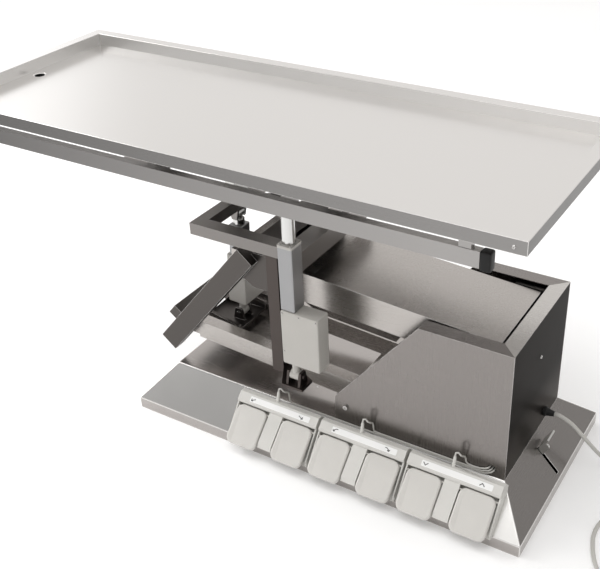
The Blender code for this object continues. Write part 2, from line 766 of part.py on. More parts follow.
def make_housing_side():
    """Return a long panel with its top flange and the folded return of its sloping edge."""
    outline = housing_outline()
    panel = make_prism(outline, -PLATEAU_Y, -PLATEAU_Y + BASE_SHEET)
    top_left = PLATEAU_RIGHT - HOUSING_TOP_LENGTH
    flange = make_prism([
        (top_left, -PLATEAU_Y),
        (PLATEAU_RIGHT - GAP, -PLATEAU_Y),
        (PLATEAU_RIGHT - HOUSING_FLANGE - GAP, -PLATEAU_Y + HOUSING_FLANGE),
        (top_left, -PLATEAU_Y + HOUSING_FLANGE),
    ], HOUSING_TOP - BASE_SHEET, HOUSING_TOP, "Z")
    toe = Vector((outline[4][0], 0, outline[4][1]))
    crest = Vector((outline[3][0], 0, outline[3][1]))
    inward = Vector((crest.z - toe.z, 0, toe.x - crest.x)).normalized() * BASE_SHEET
    strip = [(p.x, p.z) for p in (toe, crest, crest + inward, toe + inward)]
    fold = make_prism(strip, -PLATEAU_Y, -PLATEAU_Y + HOUSING_RETURN)
    front_edge = make_box((toe.x, -PLATEAU_Y, HOUSING_FLOOR),
                          (toe.x + BASE_SHEET, -PLATEAU_Y + HOUSING_RETURN, toe.z))
    return weld(panel, flange, fold, front_edge)


def make_housing_front():
    """Return the front panel with the hole for the pedal leads."""
    hole = make_cylinder((LEAD_HOLE_X, -PLATEAU_Y - 0.01, LEAD_HOLE_Z),
                         (LEAD_HOLE_X, -PLATEAU_Y + 0.01, LEAD_HOLE_Z), LEAD_HOLE_RADIUS)
    return cut(make_housing_side(), hole)


def make_housing_end():
    """Return the end wall with its mitred flange and the hole of the cord gland."""
    inner = PLATEAU_Y - BASE_SHEET - GAP
    wall = make_box((PLATEAU_RIGHT - BASE_SHEET, -inner, HOUSING_FLOOR), (PLATEAU_RIGHT, inner, HOUSING_TOP))
    reach = PLATEAU_Y - HOUSING_FLANGE - MITRE_GAP
    start = PLATEAU_RIGHT - (PLATEAU_Y - inner) + MITRE_GAP
    flange = make_prism([
        (PLATEAU_RIGHT, -inner),
        (PLATEAU_RIGHT, inner),
        (start, inner),
        (PLATEAU_RIGHT - HOUSING_FLANGE, reach),
        (PLATEAU_RIGHT - HOUSING_FLANGE, -reach),
        (start, -inner),
    ], HOUSING_TOP - BASE_SHEET, HOUSING_TOP, "Z")
    hole = make_cylinder((PLATEAU_RIGHT - 0.01, CORD_EXIT_Y, CORD_EXIT_Z),
                         (PLATEAU_RIGHT + 0.01, CORD_EXIT_Y, CORD_EXIT_Z), CORD_RADIUS * 2 + GAP)
    return cut(weld(wall, flange), hole)


def make_fork(x, z, half_length, foot_z, pin_radius=0, reach=0.012):
    """Return two lugs across Y that hold an actuator's eye, from foot_z past its pin, with the pin."""
    top = z + math.copysign(reach, z - foot_z)
    outline = [(x - half_length, foot_z), (x + half_length, foot_z),
               (x + half_length * 0.55, top), (x - half_length * 0.55, top)]
    outer = LUG_INNER_FACE + ACT_LUG_THICKNESS
    pieces = [make_prism(outline, LUG_INNER_FACE, outer), make_prism(outline, -outer, -LUG_INNER_FACE)]
    if pin_radius:
        pieces.append(make_cylinder((x, -outer - 0.004, z), (x, outer + 0.004, z), pin_radius, 12))
    return pieces


def make_side_fork(outline):
    """Return two lugs across X beside the side tilt actuator, with an outline of (y, z) pairs."""
    outer = LUG_INNER_FACE + ACT_LUG_THICKNESS
    return [make_prism(outline, TILT_ACT_X + LUG_INNER_FACE, TILT_ACT_X + outer, "X"),
            make_prism(outline, TILT_ACT_X - outer, TILT_ACT_X - LUG_INNER_FACE, "X")]


def make_pivot_frame():
    """Return the bearing plates inside the housing, with the pins of both arms and the actuator foot."""
    floor = HOUSING_FLOOR
    outline = [
        (FRAME_LEFT, floor),
        (FRAME_RIGHT, floor),
        (FRAME_RIGHT, FRAME_TOP),
        (FRAME_RIGHT - FRAME_TOP_LENGTH, FRAME_TOP),
        (FRAME_LEFT, floor + FRAME_TOE_HEIGHT),
    ]
    bolt_end = FRAME_INNER_FACE + FRAME_PLATE + 0.004
    plate = make_prism(outline, FRAME_INNER_FACE, FRAME_INNER_FACE + FRAME_PLATE)
    arm_pin = make_cylinder((ARM_PIVOT.x, PIN_INNER_END, ARM_PIVOT.z), (ARM_PIVOT.x, bolt_end, ARM_PIVOT.z),
                            PIVOT_PIN_RADIUS)
    lower_pin = make_cylinder((LOWER_PIVOT.x, LOWER_EYE_INNER - 0.004, LOWER_PIVOT.z),
                              (LOWER_PIVOT.x, bolt_end, LOWER_PIVOT.z), PIVOT_PIN_RADIUS)
    side, other_side = both_sides(weld(plate, arm_pin, lower_pin))
    reach = FRAME_INNER_FACE + 0.002
    tie = make_cylinder((TIE_ROD_X, -reach, TIE_ROD_Z), (TIE_ROD_X, reach, TIE_ROD_Z), TIE_ROD_RADIUS, 12)
    bar_top = floor + CLEVIS_BAR_HEIGHT
    bar = make_box((LIFT_ACT_LOWER_X - CLEVIS_BAR_LENGTH / 2, -reach, floor),
                   (LIFT_ACT_LOWER_X + CLEVIS_BAR_LENGTH / 2, reach, bar_top))
    fork = make_fork(LIFT_ACT_LOWER_X, LIFT_ACT_LOWER_Z, 0.016, bar_top - 0.002, ACT_PIN_RADIUS)
    return weld(side, tie, other_side, bar, *fork)


def make_control_box():
    """Return the control box that stands on the plateau inside the housing."""
    low = Vector((CONTROL_X, CONTROL_Y, HOUSING_FLOOR))
    return bevel(make_box(low, low + Vector((CONTROL_LENGTH, CONTROL_WIDTH, CONTROL_HEIGHT))), 0.003)


# Arms, drawn about their right-hand pivot with +X along the arm

def make_belly(inset):
    """Return the tapered belly under the arm, or its hollow where it has an inset."""
    half_top = ARM_WIDTH / 2 - inset
    half_low = BELLY_WIDTH / 2 - inset
    top = -ARM_BELOW_PIVOT + 0.0005 + (ARM_WALL if inset else 0)
    low = -ARM_BELOW_PIVOT - BELLY_DEPTH + inset
    return make_loft([
        rectangle(-BELLY_LEFT + inset, -BELLY_RIGHT - inset, -half_top, half_top, top),
        rectangle(-BELLY_LEFT + BELLY_CHAMFER, -BELLY_RIGHT - BELLY_CHAMFER, -half_low, half_low, low),
    ])


def turned_to_arm(point):
    """Return a point of the table's frame in the frame of the lift arm."""
    return Matrix.Rotation(-ARM_ANGLE, 3, "Y") @ (point - ARM_PIVOT)


def make_lift_arm():
    """Return the hollow lift arm with its tapered belly and the lugs of the lift actuator."""
    half = ARM_WIDTH / 2
    left = -ARM_LENGTH - ARM_END_LEFT
    arm = make_box((left, -half, -ARM_BELOW_PIVOT), (ARM_END_RIGHT, half, ARM_ABOVE_PIVOT))
    weld(arm, make_belly(0))
    hollow = make_box((left - 0.01, -half + ARM_WALL, -ARM_BELOW_PIVOT + ARM_WALL),
                      (ARM_END_RIGHT + 0.01, half - ARM_WALL, ARM_ABOVE_PIVOT - ARM_WALL))
    cut(arm, hollow, make_belly(BELLY_WALL))
    for x in (0, -ARM_LENGTH):
        cut(arm, make_cylinder((x, -half - 0.01, 0), (x, half + 0.01, 0), PIVOT_PIN_RADIUS + GAP))
    eye = turned_to_arm(Vector((LIFT_ACT_UPPER_X, 0, LIFT_ACT_UPPER_Z)))
    return weld(arm, *make_fork(eye.x, eye.z, 0.020, -ARM_BELOW_PIVOT + 0.002))


def make_arm_cover():
    """Return the folded cover over the arm."""
    outer = ARM_WIDTH / 2 + GAP + COVER_SHEET
    inner = outer - COVER_SHEET
    under = ARM_ABOVE_PIVOT + GAP
    top = under + COVER_SHEET
    lip = top - COVER_LIP
    profile = [(-outer, lip), (-outer, top), (outer, top), (outer, lip),
               (inner, lip), (inner, under), (-inner, under), (-inner, lip)]
    right = ARM_END_RIGHT + COVER_OVERHANG
    return make_prism(profile, right - COVER_LENGTH, right, "X")


def make_lower_arm():
    """Return the lower arm: two tubes with round eyes, joined by two tie plates."""
    half = LOWER_TUBE_HEIGHT / 2
    ends = LOWER_TUBE_INSET
    wall = LOWER_TUBE_WALL
    tube = make_box((-ARM_LENGTH + ends, LOWER_INNER_FACE, -half), (-ends, LOWER_OUTER_FACE, half))
    cut(tube, make_box((-ARM_LENGTH, LOWER_INNER_FACE + wall, -half + wall),
                       (0, LOWER_OUTER_FACE - wall, half - wall)))
    for x, tail in ((0, -ends - 0.012), (-ARM_LENGTH, -ARM_LENGTH + ends + 0.012)):
        weld(tube, make_prism(link_outline((x, 0), (tail, 0), LOWER_EYE_RADIUS), LOWER_EYE_INNER,
                              LOWER_EYE_INNER + LOWER_EYE_WIDTH))
        cut(tube, make_cylinder((x, LOWER_EYE_INNER - 0.01, 0),
                                (x, LOWER_EYE_INNER + LOWER_EYE_WIDTH + 0.01, 0), PIVOT_PIN_RADIUS + GAP))
    side, other_side = both_sides(tube)
    reach = LOWER_INNER_FACE + 0.002
    ties = [make_box((start, -reach, -half), (end, reach, -half + LOWER_TIE_THICKNESS))
            for start, end in LOWER_TIE_REACHES]
    return weld(side, ties[0], other_side, ties[1])


# Head

def link_point(along, offset):
    """Return a point of the table's frame measured along the head's bars from their upper pivot."""
    direction = Vector((math.cos(LINK_ANGLE), 0, math.sin(LINK_ANGLE)))
    normal = Vector((-direction.z, 0, direction.x))
    return HEAD_PIVOT + direction * along + normal * offset


def link_rectangle(low, high, near, far):
    """Return the (x, z) corners of a rectangle that lies along the head's bars."""
    corners = (link_point(low, near), link_point(high, near), link_point(high, far), link_point(low, far))
    return [(point.x, point.z) for point in corners]


def make_head_side():
    """Return one side of the head: the inclined bar, its cheek and the pins of both arms."""
    inner = HEAD_BAR_INNER_FACE
    outer = inner + HEAD_BAR_THICKNESS
    half = HEAD_BAR_WIDTH / 2
    low_end = -LINK_LENGTH - HEAD_BAR_BELOW
    wall = 0.003
    bar = make_prism(link_rectangle(low_end, HEAD_BAR_ABOVE, -half, half), inner, outer)
    pocket = link_rectangle(low_end - 0.01, low_end + 0.025, -half + wall, half - wall)
    cut(bar, make_prism(pocket, inner + wall, outer - wall))
    right = TREND_BOX_LEFT + TREND_BOX_LENGTH - 0.004
    low = HEAD_PIVOT.z - HEAD_CHEEK_DROP
    cheek = make_prism([
        (right - HEAD_CHEEK_LENGTH, low + 0.018),
        (right - HEAD_CHEEK_LENGTH + 0.030, low),
        (right - 0.008, low),
        (right, low + 0.010),
        (right, CHEEK_TOP),
        (TREND_BOX_LEFT - 0.030, CHEEK_TOP),
        (HEAD_PIVOT.x + 0.010, HEAD_PIVOT.z + 0.010),
    ], inner, inner + HEAD_CHEEK_THICKNESS)
    pins = [make_cylinder((HEAD_PIVOT.x, PIN_INNER_END, HEAD_PIVOT.z),
                          (HEAD_PIVOT.x, inner + 0.004, HEAD_PIVOT.z), PIVOT_PIN_RADIUS),
            make_cylinder((LOWER_HEAD_PIVOT.x, LOWER_EYE_INNER - 0.003, LOWER_HEAD_PIVOT.z),
                          (LOWER_HEAD_PIVOT.x, inner + 0.004, LOWER_HEAD_PIVOT.z), PIVOT_PIN_RADIUS)]
    return weld(bar, cheek, *pins)


def make_trend_box():
    """Return the open box on the head's cheeks that carries the ring frame's pins."""
    left = TREND_BOX_LEFT
    right = left + TREND_BOX_LENGTH
    half = RING_DEPTH / 2 - RING_SIDE_TUBE - TREND_BOX_SIDE_GAP
    wall = TREND_BOX_WALL
    box = make_box((left, -half, TREND_BOX_LOW), (right, half, TREND_BOX_TOP))
    cut(box, make_box((left + wall, -half + wall, TREND_BOX_LOW - 0.01),
                      (right - wall, half - wall, TREND_BOX_TOP - wall)))
    bore = make_cylinder((TREND_PIVOT.x, -half - 0.01, TREND_PIVOT.z),
                         (TREND_PIVOT.x, half + 0.01, TREND_PIVOT.z), PIVOT_PIN_RADIUS + GAP)
    return cut(box, bore)


def make_head_cradle():
    """Return the cross tube between the head's bars with the cradle of the end tilt actuator."""
    half = CROSS_TUBE / 2
    along = -LINK_LENGTH
    reach = HEAD_BAR_INNER_FACE - GAP
    tube = make_prism(link_rectangle(along - half, along + half, CROSS_TUBE_OFFSET - half,
                                     CROSS_TUBE_OFFSET + half), -reach, reach)
    centre = link_point(along, CROSS_TUBE_OFFSET)
    plate_right = LOWER_HEAD_PIVOT.x + CRADLE_LENGTH
    plate_left = LOWER_HEAD_PIVOT.x - 0.012
    web = make_prism([
        (centre.x + 0.004, centre.z + 0.010),
        (centre.x - 0.004, centre.z - 0.012),
        (plate_left, CRADLE_PLATE_Z - 0.004),
        (plate_left + 0.012, CRADLE_PLATE_Z - 0.010),
        (plate_right, CRADLE_PLATE_Z - 0.004),
        (plate_right, CRADLE_PLATE_Z + 0.012),
        (LOWER_HEAD_PIVOT.x + 0.030, LOWER_HEAD_PIVOT.z + 0.020),
    ], CRADLE_HALF_WIDTH - CRADLE_WEB_GAUGE, CRADLE_HALF_WIDTH)
    plate = make_box((plate_left + 0.020, -CRADLE_HALF_WIDTH + 0.002, CRADLE_PLATE_Z - 0.0035),
                     (plate_right - 0.001, CRADLE_HALF_WIDTH - 0.002, CRADLE_PLATE_Z + 0.0015))
    fork = make_fork(TREND_ACT_LOWER_X, TREND_ACT_LOWER_Z, 0.016, CRADLE_PLATE_Z, ACT_PIN_RADIUS)
    return weld(tube, *both_sides(web), plate, *fork)


# Ring frame and what hangs on it

def make_ring_frame():
    """Return the ring of tubes that tips about the head, with its pins and the fork of its actuator."""
    half = RING_DEPTH / 2
    inner_half = half - RING_SIDE_TUBE
    inner_right = RING_RIGHT - RING_RIGHT_TUBE
    ring = make_box((RING_LEFT, -half, RING_BOTTOM), (RING_RIGHT, half, RING_TOP))
    deep = make_box((inner_right, -half, RING_TOP - RING_RIGHT_TUBE_HEIGHT),
                    (RING_RIGHT, half, RING_BOTTOM + 0.004))
    weld(ring, deep)
    cut(ring, make_box((RING_LEFT + RING_LEFT_TUBE, -inner_half, RING_BOTTOM - 0.01),
                       (inner_right, inner_half, RING_TOP + 0.01)))
    pin = make_cylinder((TREND_PIVOT.x, inner_half - TREND_BOX_SIDE_GAP - TREND_PIN_LENGTH, TREND_PIVOT.z),
                        (TREND_PIVOT.x, inner_half + 0.004, TREND_PIVOT.z), PIVOT_PIN_RADIUS)
    fork = make_fork(TREND_ACT_UPPER_X, TREND_ACT_UPPER_Z, 0.0125, RING_BOTTOM + 0.002, reach=0.011)
    return weld(ring, *both_sides(pin), *fork)


def make_tilt_post():
    """Return the hanging post with its foot plate and the lugs of the side tilt actuator."""
    front = -RING_DEPTH / 2
    back = front + POST_DEPTH
    post = make_box((POST_LEFT, front, POST_BOTTOM), (POST_LEFT + POST_WIDTH, back, RING_BOTTOM - GAP))
    plate_top = TILT_ACT_LOWER_Z - FOOT_BELOW_PIN
    right = POST_LEFT + POST_WIDTH
    plate = make_prism([
        (POST_LEFT, front),
        (right, front),
        (TILT_ACT_X - FOOT_HALF_LENGTH, TILT_ACT_Y - FOOT_HALF_DEPTH),
        (TILT_ACT_X + FOOT_HALF_LENGTH, TILT_ACT_Y - FOOT_HALF_DEPTH),
        (TILT_ACT_X + FOOT_HALF_LENGTH, TILT_ACT_Y + FOOT_HALF_DEPTH),
        (right, back),
        (POST_LEFT, back),
    ], plate_top - FOOT_PLATE, plate_top, "Z")
    outline = [(TILT_ACT_Y - 0.016, plate_top - 0.002), (TILT_ACT_Y + 0.016, plate_top - 0.002),
               (TILT_ACT_Y + 0.009, TILT_ACT_LOWER_Z + 0.011), (TILT_ACT_Y - 0.009, TILT_ACT_LOWER_Z + 0.011)]
    lugs = make_side_fork(outline)
    reach = LUG_INNER_FACE + ACT_LUG_THICKNESS + 0.004
    pin = make_cylinder((TILT_ACT_X - reach, TILT_ACT_Y, TILT_ACT_LOWER_Z),
                        (TILT_ACT_X + reach, TILT_ACT_Y, TILT_ACT_LOWER_Z), ACT_PIN_RADIUS, 12)
    return weld(post, plate, *lugs, pin)


def make_tilt_bearing(centre_x):
    """Return a bearing block of the side tilt axis, standing on the ring frame."""
    half = TILT_BEARING_HALF_DEPTH
    foot = RING_TOP + GAP
    crown = arc((0, TILT_AXIS_Z), TILT_SHAFT_RADIUS + 0.009, 0, 180, 10)
    outline = [(-half, foot), (half, foot), (half, foot + 0.010)] + crown + [(-half, foot + 0.010)]
    block = make_prism(outline, centre_x - TILT_BEARING_WIDTH / 2, centre_x + TILT_BEARING_WIDTH / 2, "X")
    bore = make_cylinder((centre_x - 0.05, 0, TILT_AXIS_Z), (centre_x + 0.05, 0, TILT_AXIS_Z),
                         TILT_SHAFT_RADIUS + GAP)
    return cut(block, bore)


# Top frame

def make_cross_frame():
    """Return the two cross members with their hangers and the tube of the side tilt axis."""
    reach = BEAM_INNER_FACE - GAP
    high = BEAM_TOP - 0.001
    low = high - CROSS_MEMBER_HEIGHT
    wall = CROSS_MEMBER_WALL
    left_hanger = CROSS_MEMBER_LEFT + CROSS_MEMBER_LEFT_WIDTH - HANGER_THICKNESS
    members = []
    hangers = []
    for left, width, hanger in ((CROSS_MEMBER_LEFT, CROSS_MEMBER_LEFT_WIDTH, left_hanger),
                                (CROSS_MEMBER_RIGHT, CROSS_MEMBER_RIGHT_WIDTH, CROSS_MEMBER_RIGHT)):
        member = make_box((left, -reach, low), (left + width, reach, high))
        members.append(cut(member, make_box((left + wall, -reach - 0.01, low + wall),
                                            (left + width - wall, reach + 0.01, high - wall))))
        outline = [(-HANGER_HALF_DEPTH, low + 0.002), (HANGER_HALF_DEPTH, low + 0.002)]
        outline += arc((0, TILT_AXIS_Z), TILT_SHAFT_RADIUS + 0.004, 0, -180, 8)
        hangers.append(make_prism(outline, hanger, hanger + HANGER_THICKNESS, "X"))
    shaft = make_cylinder((left_hanger + HANGER_THICKNESS / 2, 0, TILT_AXIS_Z),
                          (CROSS_MEMBER_RIGHT + HANGER_THICKNESS / 2, 0, TILT_AXIS_Z), TILT_SHAFT_RADIUS)
    return weld(shaft, *hangers, *members)


def make_beam():
    """Return the front beam: a rectangular tube with the spacers that carry the tray."""
    left = TRAY_CENTRE_X - BEAM_LENGTH / 2
    right = TRAY_CENTRE_X + BEAM_LENGTH / 2
    low = BEAM_TOP - BEAM_HEIGHT
    wall = BEAM_WALL
    beam = make_box((left, -BEAM_OUTER_FACE, low), (right, -BEAM_INNER_FACE, BEAM_TOP))
    cut(beam, make_box((left - 0.01, -BEAM_OUTER_FACE + wall, low + wall),
                       (right + 0.01, -BEAM_INNER_FACE - wall, BEAM_TOP - wall)))
    for x in (left + SPACER_INSET, right - SPACER_INSET - SPACER_WIDTH):
        weld(beam, make_box((x, -BEAM_OUTER_FACE + 0.001, BEAM_TOP - 0.001),
                            (x + SPACER_WIDTH, -BEAM_INNER_FACE - 0.001, BEAM_TOP + SPACER_HEIGHT)))
    return beam


def make_front_beam():
    """Return the front beam with the fork that holds the rod of the side tilt actuator."""
    outline = [(-BEAM_INNER_FACE - 0.001, BEAM_TOP - BEAM_HEIGHT + 0.002),
               (TILT_ACT_Y + 0.006, TILT_ACT_UPPER_Z - 0.014),
               (TILT_ACT_Y + 0.016, TILT_ACT_UPPER_Z - 0.006),
               (TILT_ACT_Y + 0.016, TILT_ACT_UPPER_Z + 0.012),
               (-BEAM_INNER_FACE - 0.001, BEAM_TOP - 0.002)]
    return weld(make_beam(), *make_side_fork(outline))


def make_beam_cap(side, end):
    """Return one plastic end cap with its plug inside the beam."""
    low = BEAM_TOP - BEAM_HEIGHT
    face = TRAY_CENTRE_X + end * (BEAM_LENGTH / 2 + GAP)
    ends = sorted((face, face + end * CAP_LENGTH))
    cap = bevel(make_box((ends[0], -BEAM_OUTER_FACE - CAP_LIP, low - CAP_LIP * 2),
                         (ends[1], -BEAM_INNER_FACE + CAP_LIP, BEAM_TOP + CAP_LIP)), 0.004, 2)
    inset = BEAM_WALL + GAP
    plug = sorted((face + end * 0.002, face - end * CAP_PLUG))
    weld(cap, make_box((plug[0], -BEAM_OUTER_FACE + inset, low + inset),
                       (plug[1], -BEAM_INNER_FACE - inset, BEAM_TOP - inset)))
    return flipped(cap) if side > 0 else cap


def tray_rectangle(inset, height):
    """Return a level rectangle inside the tray's outline."""
    half_length = TRAY_LENGTH / 2 - inset
    half_width = TRAY_WIDTH / 2 - inset
    return rectangle(TRAY_CENTRE_X - half_length, TRAY_CENTRE_X + half_length, -half_width, half_width,
                     height)


def make_tray():
    """Return the folded drain tray: sunken floor, wall, flat rim and outer skirt, with the drain hole."""
    sheet = TRAY_SHEET
    top = TRAY_TOP
    floor = top - TRAY_DEPTH
    foot = RIM_WIDTH + WALL_DRAFT
    tray = make_loft([
        tray_rectangle(foot, floor),
        tray_rectangle(RIM_WIDTH, top),
        tray_rectangle(0, top),
        tray_rectangle(0, top - RIM_HEIGHT),
        tray_rectangle(sheet, top - RIM_HEIGHT),
        tray_rectangle(sheet, top - sheet),
        tray_rectangle(RIM_WIDTH - sheet, top - sheet),
        tray_rectangle(foot - sheet, floor - sheet),
    ])
    return cut(tray, make_cylinder((DRAIN_X, 0, floor - 0.02), (DRAIN_X, 0, floor + 0.02), DRAIN_HOLE, 24))


def make_drain_fitting():
    """Return the drain's barrel, flush with the tray's floor, with its flange below the sheet."""
    barrel = DRAIN_HOLE - GAP
    seat = -TRAY_SHEET - GAP
    nut = seat - DRAIN_NUT_HEIGHT
    profile = [(DRAIN_BORE, -GAP), (barrel - 0.001, -GAP), (barrel, -0.001), (barrel, seat),
               (DRAIN_FLANGE, seat), (DRAIN_FLANGE, nut), (barrel, nut), (barrel, -DRAIN_BARREL_LENGTH),
               (DRAIN_BORE, -DRAIN_BARREL_LENGTH)]
    return make_turned(profile, (DRAIN_X, 0, TRAY_TOP - TRAY_DEPTH), "Z", 24)


# Actuators, drawn about their lower pin with +Z along the rod

def make_eye(height, neck_from, neck_radius, axis, bore=True):
    """Return an eye across an axis at a height, with the neck that carries it."""
    unit = Vector((1, 0, 0)) if axis == "X" else Vector((0, 1, 0))
    centre = Vector((0, 0, height))
    half = ACT_EYE_WIDTH / 2
    eye = make_cylinder(centre - unit * half, centre + unit * half, ACT_EYE_RADIUS)
    weld(eye, make_cylinder((0, 0, neck_from), centre, neck_radius, 16))
    if bore:
        cut(eye, make_cylinder(centre - unit * (half + 0.01), centre + unit * (half + 0.01),
                               ACT_PIN_RADIUS + GAP, 12))
    return eye


def make_motor_box(low, high, bottom, axis):
    """Return an actuator's motor box with rounded edges and its lower eye."""
    box = bevel(make_box(low, high), 0.004, 2)
    return weld(box, make_eye(0, bottom + 0.010, 0.008, axis))


def make_actuator_tube(bottom, top):
    """Return the square outer tube, bored for the rod."""
    half_x = ACT_TUBE_WIDTH / 2
    half_y = ACT_TUBE_DEPTH / 2
    tube = bevel(make_box((-half_x, -half_y, bottom), (half_x, half_y, top)), 0.002)
    return cut(tube, make_cylinder((0, 0, bottom + ACT_BORE_FLOOR), (0, 0, top + 0.01), ACT_ROD_RADIUS + GAP))


def tube_bottom(box_bottom):
    """Return where an actuator's tube stands on its motor box."""
    return box_bottom + ACT_MOTOR_HEIGHT + GAP


def make_rod(length, start, axis, neck, radius=ACT_ROD_RADIUS):
    """Return a rod with its eye, which sits in a fork and is left open there."""
    rod = make_cylinder((0, 0, start), (0, 0, length - neck), radius)
    return weld(rod, make_eye(length, length - neck - 0.006, 0.009, axis, bore=False))


def make_tilt_motor():
    """Return the motor box of the side tilt actuator."""
    bottom = TILT_ACT_BOX_BOTTOM
    half = ACT_MOTOR_DEPTH / 2
    left = -ACT_TUBE_WIDTH / 2 - 0.001
    return make_motor_box((left, -half, bottom), (left + ACT_MOTOR_LENGTH, half, bottom + ACT_MOTOR_HEIGHT),
                          bottom, "X")


def make_tilt_rod():
    """Return the rod of the side tilt actuator."""
    start = tube_bottom(TILT_ACT_BOX_BOTTOM) + ACT_BORE_FLOOR + TILT_ROD_RESERVE
    return make_rod(TILT_ACT_UPPER_Z - TILT_ACT_LOWER_Z, start, "X", 0.018)


def axis_between(lower_x, lower_z, upper_x, upper_z):
    """Return the length and the lean of an actuator between its two pins."""
    run = upper_x - lower_x
    rise = upper_z - lower_z
    return math.hypot(run, rise), math.atan2(run, rise)


def trend_axis():
    """Return the length and the lean of the end tilt actuator."""
    return axis_between(TREND_ACT_LOWER_X, TREND_ACT_LOWER_Z, TREND_ACT_UPPER_X, TREND_ACT_UPPER_Z)


def make_trend_motor():
    """Return the motor box of the end tilt actuator."""
    bottom = TREND_ACT_BOX_BOTTOM
    half = TREND_ACT_BOX_WIDTH / 2
    front = -ACT_TUBE_DEPTH / 2 - 0.002
    return make_motor_box((-half, front, bottom), (half, front + ACT_MOTOR_LENGTH, bottom + ACT_MOTOR_HEIGHT),
                          bottom, "Y")


def make_trend_rod():
    """Return the rod of the end tilt actuator."""
    start = tube_bottom(TREND_ACT_BOX_BOTTOM) + ACT_BORE_FLOOR + TREND_ROD_RESERVE
    return make_rod(trend_axis()[0], start, "Y", 0.014)


def lift_axis():
    """Return the length and the lean of the lift actuator."""
    return axis_between(LIFT_ACT_LOWER_X, LIFT_ACT_LOWER_Z, LIFT_ACT_UPPER_X, LIFT_ACT_UPPER_Z)


def make_lift_body():
    """Return the round body of the lift actuator with its motor beside it and its lower eye."""
    bottom = LIFT_ACT_BODY_BOTTOM
    motor_y = -LIFT_ACT_BODY_RADIUS - LIFT_MOTOR_OFFSET
    body = make_cylinder((0, 0, bottom), (0, 0, LIFT_ACT_BODY_TOP), LIFT_ACT_BODY_RADIUS, 24)
    motor = make_cylinder((0, motor_y, bottom), (0, motor_y, LIFT_MOTOR_TOP), LIFT_MOTOR_RADIUS)
    gearbox = make_box((-0.020, motor_y, bottom + 0.001), (0.020, 0, bottom + LIFT_BORE_FLOOR))
    weld(body, gearbox, motor)
    cut(body, make_cylinder((0, 0, bottom + LIFT_BORE_FLOOR), (0, 0, LIFT_ACT_BODY_TOP + 0.01),
                            LIFT_ACT_ROD_RADIUS + GAP))
    return weld(body, make_eye(0, bottom + 0.006, 0.009, "Y"))


def make_lift_rod():
    """Return the rod of the lift actuator with its eye."""
    start = LIFT_ACT_BODY_BOTTOM + LIFT_BORE_FLOOR + LIFT_ROD_RESERVE
    return make_rod(lift_axis()[0], start, "Y", 0.024, LIFT_ACT_ROD_RADIUS)


# Foot switches, drawn on the slope with +Y up the slope and +Z away from it

def switch_origin(index):
    """Return the point of the plateau's front edge above one foot switch."""
    lift = GAP + 0.0002
    return Vector((SWITCH_FIRST_X + index * SWITCH_PITCH, -PLATEAU_Y - lift * math.sin(SLOPE_ANGLE),
                   PLATEAU_HEIGHT + lift * math.cos(SLOPE_ANGLE)))


def pedal_centre(side):
    """Return the middle of a pedal across its foot switch."""
    return side * (SWITCH_WEB_WIDTH / 2 + PEDAL_PLAY + PEDAL_WIDTH / 2)


def make_hinge_bar(side, radius, reach):
    """Return a bar along a pedal's hinge axis that reaches past both sides of the pedal."""
    centre = pedal_centre(side)
    half = PEDAL_WIDTH / 2 + reach
    return make_cylinder((centre - half, PEDAL_HINGE_Y, PEDAL_HINGE_Z),
                         (centre + half, PEDAL_HINGE_Y, PEDAL_HINGE_Z), radius, 12)


def relief_axis():
    """Return the foot and the direction of the lead's strain relief in the switch's frame."""
    foot = Vector((-0.008, -SWITCH_TOP_GAP - 0.008, SWITCH_BAR_HEIGHT - 0.009))
    upright = Matrix.Rotation(-SLOPE_ANGLE, 3, "X") @ Vector((0, 0.20, 1)).normalized()
    return foot, upright


